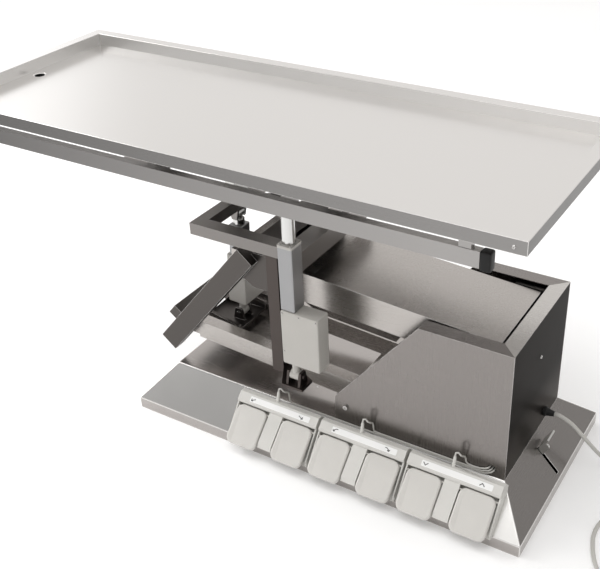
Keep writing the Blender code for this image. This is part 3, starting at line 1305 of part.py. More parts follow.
def make_switch_body():
    """Return a foot switch body: bed, head bar, middle web, side rails and the lead's strain relief."""
    half = SWITCH_WIDTH / 2
    top = -SWITCH_TOP_GAP
    bottom = top - SWITCH_LENGTH
    bar_end = top - SWITCH_BAR_LENGTH
    bed = make_prism(rounded_outline(-half, half, bottom, top, 0.010), 0, SWITCH_BED, "Z")
    bar = make_prism([(top, 0.002), (top, SWITCH_BAR_HEIGHT - 0.008), (top - 0.008, SWITCH_BAR_HEIGHT),
                      (bar_end + 0.004, SWITCH_BAR_HEIGHT), (bar_end, SWITCH_BAR_HEIGHT - 0.004),
                      (bar_end, 0.002)], -half + 0.001, half - 0.001, "X")
    web_half = SWITCH_WEB_WIDTH / 2
    web = make_prism([(bar_end + 0.004, 0.002), (bar_end + 0.004, SWITCH_WEB_HEIGHT),
                      (bottom + 0.022, SWITCH_WEB_HEIGHT), (bottom + 0.008, SWITCH_WEB_HEIGHT - 0.006),
                      (bottom + 0.003, 0.006), (bottom + 0.004, 0.002)], -web_half, web_half, "X")
    rail_inner = web_half + 2 * PEDAL_PLAY + PEDAL_WIDTH
    rail_outline = [(bar_end + 0.004, 0.002), (bar_end + 0.004, SWITCH_RAIL_HEIGHT),
                    (bottom + 0.020, SWITCH_RAIL_LOW), (bottom + 0.011, 0.002)]
    rails = [make_prism(rail_outline, rail_inner, half - 0.0005, "X"),
             make_prism(rail_outline, -half + 0.0005, -rail_inner, "X")]
    body = weld(bed, bar, web, *rails)
    for side in (-1, 1):
        centre = pedal_centre(side)
        hollow = make_box((centre - PEDAL_WIDTH / 2 + 0.006, bar_end - 0.070, SWITCH_BED - 0.004),
                          (centre + PEDAL_WIDTH / 2 - 0.006, bar_end - 0.012, SWITCH_BED + 0.001))
        cut(body, hollow, make_hinge_bar(side, PEDAL_PIN_RADIUS + GAP, PEDAL_PIN_REACH + GAP))
    foot, upright = relief_axis()
    weld(body, make_cylinder(foot, foot + upright * RELIEF_LENGTH, RELIEF_RADIUS, 12, RELIEF_RADIUS * 0.62))
    for step in range(3):
        start = foot + upright * (0.011 + 0.006 * step)
        weld(body, make_cylinder(start, start + upright * 0.003, RELIEF_RADIUS * (1.06 - 0.12 * step), 12))
    return body


def make_pedal(side):
    """Return one pedal: a rounded slab on its hinge pins that dips towards its lower end."""
    centre = pedal_centre(side)
    half = PEDAL_WIDTH / 2
    low = PEDAL_HIGH - PEDAL_LENGTH
    base = PEDAL_RIDE_HEIGHT - PEDAL_THICKNESS / 2
    outline = rounded_outline(centre - half, centre + half, low, PEDAL_HIGH, PEDAL_CORNER)
    pedal = bevel(make_prism(outline, base, base + PEDAL_THICKNESS, "Z"), PEDAL_EDGE, 2, math.radians(60))
    for vertex in pedal.data.vertices:
        beyond = low + PEDAL_DROOP_LENGTH - vertex.co.y
        if beyond > 0:
            vertex.co.z -= beyond ** 2 * PEDAL_DROOP_CURVE
    return weld(pedal, make_hinge_bar(side, PEDAL_PIN_RADIUS, PEDAL_PIN_REACH))


def lead_route(index):
    """Return the points of one pedal lead in the table's frame, from its strain relief to the panel's hole.

    The leads lie stacked along the foot of the housing, and the upper ones enter the hole first.
    """
    foot, upright = relief_axis()
    turn = Matrix.Rotation(SLOPE_ANGLE, 3, "X")
    start = switch_origin(index) + turn @ (foot + upright * (RELIEF_LENGTH + GAP))
    rise = turn @ upright
    run_y = -PLATEAU_Y - LEAD_RADIUS - 0.0007
    run_z = PLATEAU_HEIGHT + LEAD_RADIUS + 0.001 + index * (2 * LEAD_RADIUS + 0.0004)
    hole_x = LEAD_HOLE_X + (1 - index) * 0.0048
    hole_z = LEAD_HOLE_Z + LEAD_HOLE_HEIGHTS[index]
    run_end = hole_x - 0.024
    first_x = start.x + 0.0225
    steps = max(1, round((run_end - first_x) / 0.05))
    run = [Vector((first_x + (run_end - first_x) * step / steps, run_y, run_z)) for step in range(steps + 1)]
    return [
        start,
        start + rise * 0.006,
        start + Vector((0.0070, 0.0005, 0.0100)),
        start + Vector((0.0130, 0.0010, 0.0040)),
        Vector((start.x + 0.0145, run_y - 0.0012, start.z - 0.0100)),
        Vector((start.x + 0.0162, run_y, run_z + 0.0050)),
        *run,
        Vector((hole_x - 0.012, run_y - 0.0004, run_z + (hole_z - run_z) * 0.35)),
        Vector((hole_x - 0.003, run_y - 0.0002, run_z + (hole_z - run_z) * 0.85)),
        Vector((hole_x, run_y + 0.0050, hole_z)),
        Vector((hole_x, run_y + 0.0140, hole_z)),
    ]


# Mains cord

def make_gland():
    """Return the gland and strain relief of the mains cord."""
    neck = CORD_RADIUS * 2
    flange = GLAND_FLANGE_RADIUS
    profile = [(0, -0.008), (neck, -0.008), (neck, GAP), (flange, GAP), (flange, 0.006), (neck, 0.0085),
               (CORD_RADIUS + 0.0012, GLAND_LENGTH), (0, GLAND_LENGTH)]
    return make_turned(profile, (PLATEAU_RIGHT, CORD_EXIT_Y, CORD_EXIT_Z), "X", 16)


def make_coil():
    """Return the plain ring that stands for the coiled part of the mains cord, with its two free ends."""
    inner = COIL_MEAN_RADIUS - COIL_HALF_WIDTH
    outer = COIL_MEAN_RADIUS + COIL_HALF_WIDTH
    low = 0.0005
    high = low + COIL_HEIGHT
    edge = 0.006
    profile = [(inner, low + edge), (inner + edge, low), (outer - edge, low), (outer, low + edge),
               (outer, high - edge), (outer - edge, high), (inner + edge, high), (inner, high - edge)]
    ring = make_turned(profile, (COIL_X, COIL_Y, 0), "Z", 28)
    end_x, end_y, end_z = CORD_ROUTE[-1]
    incoming = make_cylinder((end_x + GAP, end_y, end_z), (COIL_X, end_y, end_z), CORD_RADIUS, 12)
    out_y = COIL_Y - COIL_MEAN_RADIUS
    outgoing = make_cylinder((COIL_X, out_y, PLUG_AXIS_Z), (COIL_X + COIL_END_LENGTH, out_y, PLUG_AXIS_Z),
                             CORD_RADIUS, 12)
    return weld(ring, incoming, outgoing)


def make_plug():
    """Return the mains plug lying beside the coil."""
    y = COIL_Y - COIL_MEAN_RADIUS
    start_x = COIL_X + COIL_END_LENGTH + GAP
    shoulder = 0.034
    profile = [(0, 0), (CORD_RADIUS + 0.001, 0), (CORD_RADIUS + 0.003, 0.022), (PLUG_RADIUS, shoulder),
               (PLUG_RADIUS, shoulder + PLUG_LENGTH), (0, shoulder + PLUG_LENGTH)]
    plug = make_turned(profile, (start_x, y, PLUG_AXIS_Z), "X", 16)
    face = start_x + shoulder + PLUG_LENGTH
    for side in (-1, 1):
        pin_y = y + side * 0.0095
        weld(plug, make_cylinder((face - 0.002, pin_y, PLUG_AXIS_Z), (face + 0.019, pin_y, PLUG_AXIS_Z),
                                 0.0024, 10))
    return plug


# Materials

def make_materials():
    """Return the table's materials by name."""
    return {
        "steel": make_material("brushed_stainless", (0.62, 0.60, 0.58), 0.30, 1.0),
        "tray": make_material("satin_stainless", (0.76, 0.75, 0.73), 0.28, 1.0),
        "frame": make_material("dark_stainless", (0.42, 0.39, 0.37), 0.34, 1.0),
        "zinc": make_material("zinc_plated_steel", (0.66, 0.66, 0.64), 0.38, 1.0),
        "tube": make_material("anodised_aluminium", (0.50, 0.50, 0.51), 0.42, 1.0),
        "plastic": make_material("warm_grey_plastic", (0.60, 0.59, 0.55), 0.45, 0.0),
        "pedal": make_material("beige_pedal_plastic", (0.68, 0.67, 0.63), 0.50, 0.0),
        "black": make_material("black_plastic", (0.02, 0.02, 0.02), 0.45, 0.0),
        "cord": make_material("light_grey_cord", (0.62, 0.61, 0.58), 0.55, 0.0),
        "rubber": make_material("grey_wheel_rubber", (0.18, 0.18, 0.18), 0.70, 0.0),
    }


# Assembly

def build_base(materials):
    """Build what stands still: pan, shell, housing, bearings, switches, leads and the mains cord."""
    base = make_body("base_body")
    steel = materials["steel"]
    place(make_base_pan(), "base_pan", materials["zinc"], base)
    place(make_base_shell(), "base_shell", steel, base)
    place(make_housing_front(), "housing_front", steel, base)
    place(flipped(make_housing_side()), "housing_rear", steel, base)
    place(make_housing_end(), "housing_end", steel, base)
    place(make_pivot_frame(), "pivot_frame", materials["zinc"], base)
    place(make_control_box(), "control_box", materials["black"], base)
    for index in range(SWITCH_COUNT):
        place(make_switch_body(), f"foot_switch_{index + 1}", materials["pedal"], base, switch_origin(index),
              (SLOPE_ANGLE, 0, 0), local=True)
        lead = make_cord(lead_route(index), LEAD_RADIUS, 0.007)
        place_cord(lead, f"pedal_lead_{index + 1}", materials["cord"], base)
    place(make_gland(), "cord_gland", materials["black"], base)
    place_cord(make_cord(CORD_ROUTE, CORD_RADIUS, 0.020), "power_cord", materials["cord"], base)
    place(make_coil(), "cord_coil", materials["cord"], base)
    place(make_plug(), "mains_plug", materials["cord"], base)


def build_pedals(materials):
    """Build the six pedals, each with its origin on its hinge under the head bar."""
    turn = Matrix.Rotation(SLOPE_ANGLE, 3, "X")
    for index in range(SWITCH_COUNT):
        for side, letter in ((-1, "left"), (1, "right")):
            hinge = Vector((pedal_centre(side), PEDAL_HINGE_Y, PEDAL_HINGE_Z))
            pedal = make_pedal(side)
            pedal.data.transform(Matrix.Translation(-hinge))
            origin = switch_origin(index) + turn @ hinge
            body = make_body(f"pedal_{index + 1}_{letter}_body", origin)
            place(pedal, f"pedal_{index + 1}_{letter}", materials["pedal"], body, origin,
                  (SLOPE_ANGLE, 0, 0), local=True)


def build_castors(materials):
    """Build the wheel lever with its two wheels and the two fixed rollers."""
    shaft = (LEVER_SHAFT_X, 0, LEVER_SHAFT_Z)
    body = make_body("castor_lever_body", shaft)
    place(make_castor_lever(), "castor_lever", materials["zinc"], body, shaft)
    for kind, (x, z) in (("castor_wheel", castor_axle()), ("roller", (ROLLER_X, ROLLER_AXLE_Z))):
        for side, letter in ((-1, "front"), (1, "rear")):
            body = make_body(f"{kind}_{letter}_body", (x, 0, z))
            place(make_wheel(x, z, side), f"{kind}_{letter}", materials["rubber"], body, (x, 0, z))


def build_lift(materials):
    """Build the lift arm with its cover, the lower arm and the lift actuator."""
    steel = materials["steel"]
    turn = (0, ARM_ANGLE, 0)
    arm_body = make_body("lift_arm_body", ARM_PIVOT)
    place(make_lift_arm(), "lift_arm", steel, arm_body, ARM_PIVOT, turn, local=True)
    place(make_arm_cover(), "arm_cover", steel, arm_body, ARM_PIVOT, turn, local=True)
    lower_body = make_body("lower_arm_body", LOWER_PIVOT)
    place(make_lower_arm(), "lower_arm", materials["frame"], lower_body, LOWER_PIVOT, turn, local=True)
    pin = Vector((LIFT_ACT_LOWER_X, 0, LIFT_ACT_LOWER_Z))
    lean = (0, lift_axis()[1], 0)
    act_body = make_body("lift_actuator_body", pin)
    place(make_lift_body(), "lift_actuator", materials["plastic"], act_body, pin, lean, local=True)
    rod_body = make_body("lift_rod_body", pin)
    place(make_lift_rod(), "lift_rod", materials["zinc"], rod_body, pin, lean, local=True)


def build_head(materials):
    """Build the head: two sides, the pivot box, the cradle and the end tilt actuator."""
    frame = materials["frame"]
    head = make_body("head_body", HEAD_PIVOT)
    rear = make_head_side()
    place(mirror_y(rear), "head_side_front", frame, head, HEAD_PIVOT)
    place(rear, "head_side_rear", frame, head, HEAD_PIVOT)
    place(make_trend_box(), "head_pivot_box", frame, head, HEAD_PIVOT)
    place(make_head_cradle(), "head_cradle", frame, head, HEAD_PIVOT)
    pin = Vector((TREND_ACT_LOWER_X, 0, TREND_ACT_LOWER_Z))
    lean = (0, trend_axis()[1], 0)
    act_body = make_body("trend_actuator_body", pin)
    place(make_trend_motor(), "trend_motor", materials["plastic"], act_body, pin, lean, local=True)
    tube = make_actuator_tube(tube_bottom(TREND_ACT_BOX_BOTTOM), TREND_ACT_TUBE_TOP)
    place(tube, "trend_tube", materials["tube"], act_body, pin, lean, local=True)
    rod_body = make_body("trend_rod_body", pin)
    place(make_trend_rod(), "trend_rod", materials["tube"], rod_body, pin, lean, local=True)


def build_ring(materials):
    """Build the ring frame with its post and bearings, and the side tilt actuator."""
    frame = materials["frame"]
    ring = make_body("ring_body", TREND_PIVOT)
    place(make_ring_frame(), "ring_frame", frame, ring, TREND_PIVOT)
    place(make_tilt_post(), "tilt_post", frame, ring, TREND_PIVOT)
    place(make_tilt_bearing(RING_LEFT + RING_LEFT_TUBE / 2), "tilt_bearing_left", frame, ring, TREND_PIVOT)
    place(make_tilt_bearing(RING_RIGHT - RING_RIGHT_TUBE / 2), "tilt_bearing_right", frame, ring, TREND_PIVOT)
    pin = Vector((TILT_ACT_X, TILT_ACT_Y, TILT_ACT_LOWER_Z))
    act_body = make_body("tilt_actuator_body", pin)
    place(make_tilt_motor(), "tilt_motor", materials["plastic"], act_body, pin, local=True)
    tube = make_actuator_tube(tube_bottom(TILT_ACT_BOX_BOTTOM), TILT_ACT_TUBE_TOP)
    place(tube, "tilt_tube", materials["tube"], act_body, pin, local=True)
    rod_body = make_body("tilt_rod_body", pin)
    place(make_tilt_rod(), "tilt_rod", materials["tube"], rod_body, pin, local=True)


def build_top(materials):
    """Build the top frame and the tray."""
    axis = (0, 0, TILT_AXIS_Z)
    top = make_body("top_body", axis)
    place(make_cross_frame(), "cross_frame", materials["frame"], top, axis)
    place(make_front_beam(), "beam_front", materials["steel"], top, axis)
    place(flipped(make_beam()), "beam_rear", materials["steel"], top, axis)
    for side, letter in ((-1, "front"), (1, "rear")):
        for end, hand in ((-1, "left"), (1, "right")):
            place(make_beam_cap(side, end), f"beam_cap_{letter}_{hand}", materials["black"], top, axis)
    place(make_tray(), "tray", materials["tray"], top, axis)
    place(make_drain_fitting(), "drain_fitting", materials["zinc"], top, axis)


def main():
    """Build the whole table."""
    clear_scene()
    materials = make_materials()
    build_base(materials)
    build_pedals(materials)
    build_castors(materials)
    build_lift(materials)
    build_head(materials)
    build_ring(materials)
    build_top(materials)


main()
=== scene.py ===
"""Operating table with a stainless tray top: finishes, edges, fasteners, cord and studio."""
import logging
import math
from collections.abc import Callable
from dataclasses import dataclass
from enum import Enum
from functools import partial

import bmesh
import bpy
from bmesh.types import BMEdge, BMesh
from bpy.types import ID, Material, Modifier, Node, NodeSocket, NodeTree, Object
from mathutils import Matrix, Vector


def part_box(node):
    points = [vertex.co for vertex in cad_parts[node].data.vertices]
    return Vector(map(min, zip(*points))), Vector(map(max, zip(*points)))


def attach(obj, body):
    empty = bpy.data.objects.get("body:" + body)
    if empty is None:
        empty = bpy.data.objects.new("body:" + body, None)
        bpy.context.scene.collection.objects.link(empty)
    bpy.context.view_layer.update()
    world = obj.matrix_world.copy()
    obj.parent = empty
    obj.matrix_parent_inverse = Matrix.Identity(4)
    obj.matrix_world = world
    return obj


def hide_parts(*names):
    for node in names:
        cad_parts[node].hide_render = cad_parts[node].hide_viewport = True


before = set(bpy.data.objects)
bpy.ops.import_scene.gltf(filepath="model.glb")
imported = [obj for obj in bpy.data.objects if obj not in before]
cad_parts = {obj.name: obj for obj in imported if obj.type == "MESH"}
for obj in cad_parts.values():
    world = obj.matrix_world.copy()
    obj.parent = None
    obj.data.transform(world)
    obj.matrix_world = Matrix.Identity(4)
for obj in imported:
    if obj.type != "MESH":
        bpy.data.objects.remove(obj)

LOG = logging.getLogger("operating_table")
Point = tuple[float, float, float]
Colour = tuple[float, float, float]
Flat = tuple[float, float]
Trim = Callable[[BMesh], None]

# Distance between nodes in a tree's window
NODE_SPACING = 190

# Widest rounding of each kind of edge, in metres
FRAME_EDGE = 0.0010
TUBE_EDGE = 0.0015
SHEET_EDGE = 0.0016
ARM_EDGE = 0.0018
PLATE_EDGE = 0.0020
CASING_EDGE = 0.0022
TRAY_EDGE = 0.0026
SWITCH_EDGE = 0.0030
ROUNDING_STEPS = 3
CORNER_STEPS = 5

# How a CAD mesh is read: joined corners, points on a cut, faces that are one plane, sharp edges, and the
# largest share of a face that a rounding takes
SAME_PLACE = 1e-5
CUT_REACH = 1e-6
FLAT_ANGLE = math.radians(0.5)
SHARP_ANGLE = math.radians(40)
ROUNDED_SHARE = 0.42

# Fastener heads: the seed of their turns, and their sharp edges
HEAD_SEED = 3
HEAD_SHARP_ANGLE = math.radians(30)

# Brushed lines, wiped smears and pebbled skin: how far a face's normal points along x where the face is an
# end, what they add to the roughness, the depth of their relief, and their size or scale
END_FACING = 0.72
LINE_ROUGHNESS = (-0.03, 0.04)
LINE_DEPTH = 0.001
SMEAR_ROUGHNESS = 0.10
SMEAR_SIZE = 0.12
PEBBLE_DEPTH = 0.0004
PEBBLE_SCALE = 1400.0
MOTTLE = 0.05


# Node trees

class Tree:
    """A node tree that is written down as a list of nodes and wires."""

    def __init__(self, tree: NodeTree) -> None:
        """Take the empty tree that the nodes go into."""
        self.tree = tree
        self.column = 0

    def add(self, kind: str, wires: dict | None = None, **settings: object) -> Node:
        """Add a node.

        Args:
            kind: the node's type name.
            wires: what its inputs get, as in wire.
            **settings: the node's own properties.

        Returns:
            The new node.
        """
        node = self.tree.nodes.new(kind)
        self.column += 1
        node.location = (NODE_SPACING * self.column, 0)
        for key, value in settings.items():
            setattr(node, key, value)
        self.wire(node, wires or {})
        return node

    def wire(self, node: Node, wires: dict) -> None:
        """Fill a node's inputs.

        Args:
            node: the node.
            wires: what each input gets, by name or number: a value, a socket, or a node's first output.
        """
        for key, value in wires.items():
            if isinstance(value, Node):
                value = value.outputs[0]
            if isinstance(value, NodeSocket):
                self.tree.links.new(value, node.inputs[key])
            else:
                node.inputs[key].default_value = value

    def math(self, operation: str, first: object, second: object = 0.0) -> NodeSocket:
        """Add a Math node that does an operation, such as MULTIPLY, and return its result."""
        return self.add("ShaderNodeMath", {0: first, 1: second}, operation=operation).outputs[0]

    def blend(self, mask: object, low: object, high: object) -> NodeSocket:
        """Add a mix of two colours, whose mask says how much of the second shows, and return its result."""
        return self.add("ShaderNodeMix", {0: mask, 6: low, 7: high}, data_type="RGBA").outputs[2]

    def spread(self, value: object, low: float, high: float, start: float = 0.0,
               end: float = 1.0) -> NodeSocket:
        """Spread a value from its own range, start to end, over a new one, low to high."""
        return self.add("ShaderNodeMapRange", {0: value, 1: start, 2: end, 3: low, 4: high}).outputs[0]

    def noise(self, place: object, scale: object, detail: float, roughness: float = 0.5,
              distortion: float = 0.0) -> NodeSocket:
        """Add a noise texture at some coordinates and return its value."""
        return self.add("ShaderNodeTexNoise", {"Vector": place, "Scale": scale, "Detail": detail,
                                               "Roughness": roughness, "Distortion": distortion}).outputs[0]


def new_group(name: str, kind: str, inputs: dict[str, str],
              outputs: dict[str, str]) -> tuple[Tree, Node, Node]:
    """Make an empty node group.

    Args:
        name: the group's name.
        kind: the type of its tree.
        inputs: what each input takes, by name, such as Float.
        outputs: what each output gives, by name.

    Returns:
        The tree, and its input and output nodes.
    """
    group = bpy.data.node_groups.new(name, kind)
    for side, sockets in (("INPUT", inputs), ("OUTPUT", outputs)):
        for key, value in sockets.items():
            group.interface.new_socket(key, in_out=side, socket_type="NodeSocket" + value)
    tree = Tree(group)
    return tree, tree.add("NodeGroupInput"), tree.add("NodeGroupOutput")


def brushed_grain_group() -> NodeTree:
    """Make the group that draws fine lines of brushing, which turn with the face they lie on.

    Returns:
        The node group.
    """
    tree, given, result = new_group(
        "brushed_grain", "ShaderNodeTree",
        {"Turn": "Vector", "Main Stretch": "Vector", "End Stretch": "Vector"},
        {"Height": "Float", "Streak": "Float"})
    place = tree.add("ShaderNodeTexCoord").outputs["Object"]
    normal = tree.add("ShaderNodeNewGeometry").outputs["True Normal"]
    turned = tree.add("ShaderNodeMapping", {"Vector": place, "Rotation": given.outputs["Turn"]})
    facing = tree.add("ShaderNodeSeparateXYZ", {0: normal}).outputs["X"]
    end = tree.math("GREATER_THAN", tree.math("ABSOLUTE", facing), END_FACING)
    heights = []
    streaks = []
    for stretch in ("Main Stretch", "End Stretch"):
        along = tree.add("ShaderNodeVectorMath", {0: turned, 1: given.outputs[stretch]},
                         operation="MULTIPLY")
        heights.append(tree.noise(along, 1.0, detail=3.0, roughness=0.7))
        wide = tree.add("ShaderNodeVectorMath", {0: along, 1: (0.4, 0.06, 0.06)}, operation="MULTIPLY")
        streaks.append(tree.noise(wide, 1.0, detail=2.0))
    height = tree.add("ShaderNodeMix", {0: end, 2: heights[0], 3: heights[1]})
    streak = tree.add("ShaderNodeMix", {0: end, 2: streaks[0], 3: streaks[1]})
    tree.wire(result, {"Height": height, "Streak": streak})
    return tree.tree


def handling_group() -> NodeTree:
    """Make the group for what use leaves behind: the smears of wiping cloths.

    Returns:
        The node group.
    """
    tree, given, result = new_group("handling_marks", "ShaderNodeTree", {"Size": "Float"}, {"Smear": "Float"})
    place = tree.add("ShaderNodeTexCoord").outputs["Object"]
    scale = tree.math("DIVIDE", 1.0, given.outputs["Size"])
    soft = tree.noise(place, scale, detail=4.0, roughness=0.55, distortion=0.6)
    tree.wire(result, {"Smear": tree.spread(soft, 0.0, 1.0, start=0.38, end=0.68)})
    return tree.tree


def moulded_skin_group() -> NodeTree:
    """Make the group for the fine pebbled skin of moulded plastic.

    Returns:
        The node group.
    """
    tree, given, result = new_group("moulded_skin", "ShaderNodeTree", {"Pebble": "Float"},
                                    {"Height": "Float", "Cloud": "Float"})
    place = tree.add("ShaderNodeTexCoord").outputs["Object"]
    pebble = tree.add("ShaderNodeTexVoronoi", {"Vector": place, "Scale": given.outputs["Pebble"]},
                      feature="SMOOTH_F1").outputs["Distance"]
    tree.wire(result, {"Height": pebble, "Cloud": tree.noise(place, 18.0, detail=3.0)})
    return tree.tree


def shades(colour: Colour, contrast: float) -> tuple[tuple, tuple]:
    """Return a colour's darker and lighter shade, as far from it as the contrast says, with their alpha."""
    return (tuple(part * (1 - contrast) for part in colour) + (1,),
            tuple(min(1, part * (1 + contrast)) for part in colour) + (1,))


class Grain(Enum):
    """The way in which a sheet or tube was brushed: stretch of the lines on its sides and on its ends."""

    ALONG_X = ((14, 2400, 2400), (2400, 14, 2400))
    ALONG_Y = ((2400, 14, 2400), (2400, 14, 2400))
    ALONG_Z = ((2400, 2400, 14), (2400, 2400, 14))


@dataclass(frozen=True)
class SteelFinish:
    """A brushed or satin metal, whose roundings can get a painted highlight: a lighter copy of the steel."""

    name: str
    colour: Colour
    roughness: float
    grain: Grain = Grain.ALONG_X
    slope: float = 0.0
    lines: float = 0.004
    contrast: float = 0.012
    smear: float = 0.02
    # Painted shade: the colour is held down to a share of it at start and rises to full at end, along one
    # object axis
    painted_shade_ramp: tuple[float, float, float] | None = None
    painted_shade_axis: int = 0
    # Specular tint: below 1 the reflection at grazing angles is darker
    rim: float = 1.0
    # Whether the roundings get the painted highlight finish
    edge_highlight: bool = True

    def material(self, kit: "Finishes") -> Material:
        """Make the material.

        Args:
            kit: the finishes, which hold the shared groups.

        Returns:
            The material.
        """
        material, tree, shader = new_material(self.name)
        main, end = self.grain.value
        grain = tree.add("ShaderNodeGroup", {"Turn": (0, self.slope, 0), "Main Stretch": main,
                                             "End Stretch": end}, node_tree=kit.grain)
        marks = tree.add("ShaderNodeGroup", {"Size": SMEAR_SIZE}, node_tree=kit.marks)
        colour = tree.blend(grain.outputs["Streak"], *shades(self.colour, self.contrast))
        # Painted shade: multiply the colour by the ramp along its axis
        if self.painted_shade_ramp:
            start, end, share = self.painted_shade_ramp
            place = tree.add("ShaderNodeTexCoord").outputs["Object"]
            along = tree.add("ShaderNodeSeparateXYZ", {0: place}).outputs[self.painted_shade_axis]
            painted_shade_factor = tree.spread(along, share, 1.0, start=start, end=end)
            colour = tree.add("ShaderNodeVectorMath", {0: colour, 1: painted_shade_factor}, operation="MULTIPLY")
        low, high = LINE_ROUGHNESS
        lined = tree.spread(grain.outputs["Height"], self.roughness + low, self.roughness + high)
        smeared = tree.math("ADD", lined, tree.spread(marks.outputs["Smear"], 0.0, self.smear))
        bump = tree.add("ShaderNodeBump", {"Height": grain.outputs["Height"], "Strength": self.lines,
                                           "Distance": LINE_DEPTH})
        tree.wire(shader, {"Base Color": colour, "Roughness": smeared, "Normal": bump,
                           "Metallic": 1.0, "Specular Tint": (self.rim, self.rim, self.rim, 1)})
        return material


@dataclass(frozen=True)
class PlasticFinish:
    """A moulded plastic or rubber."""

    name: str
    colour: Colour
    roughness: float
    skin: float = 0.08
    shine: float = 0.5
    edge_highlight: bool = False

    def material(self, kit: "Finishes") -> Material:
        """Make the material.

        Args:
            kit: the finishes, which hold the shared groups.

        Returns:
            The material.
        """
        material, tree, shader = new_material(self.name)
        skin = tree.add("ShaderNodeGroup", {"Pebble": PEBBLE_SCALE}, node_tree=kit.skin)
        marks = tree.add("ShaderNodeGroup", {"Size": SMEAR_SIZE}, node_tree=kit.marks)
        bump = tree.add("ShaderNodeBump", {"Height": skin.outputs["Height"], "Strength": self.skin,
                                           "Distance": PEBBLE_DEPTH})
        colour = tree.blend(skin.outputs["Cloud"], *shades(self.colour, MOTTLE))
        smeared = tree.spread(marks.outputs["Smear"], self.roughness, self.roughness + SMEAR_ROUGHNESS)
        tree.wire(shader, {"Base Color": colour, "Roughness": smeared, "Normal": bump,
                           "Specular IOR Level": self.shine})
        return material


def new_material(name: str) -> tuple[Material, Tree, Node]:
    """Make an empty material with its shader.

    Args:
        name: the material's name.

    Returns:
        The material, its tree and its shader node.
    """
    material = bpy.data.materials.new(name)
    material.use_nodes = True
    material.node_tree.nodes.clear()
    tree = Tree(material.node_tree)
    shader = tree.add("ShaderNodeBsdfPrincipled")
    tree.add("ShaderNodeOutputMaterial", {0: shader})
    return material, tree, shader


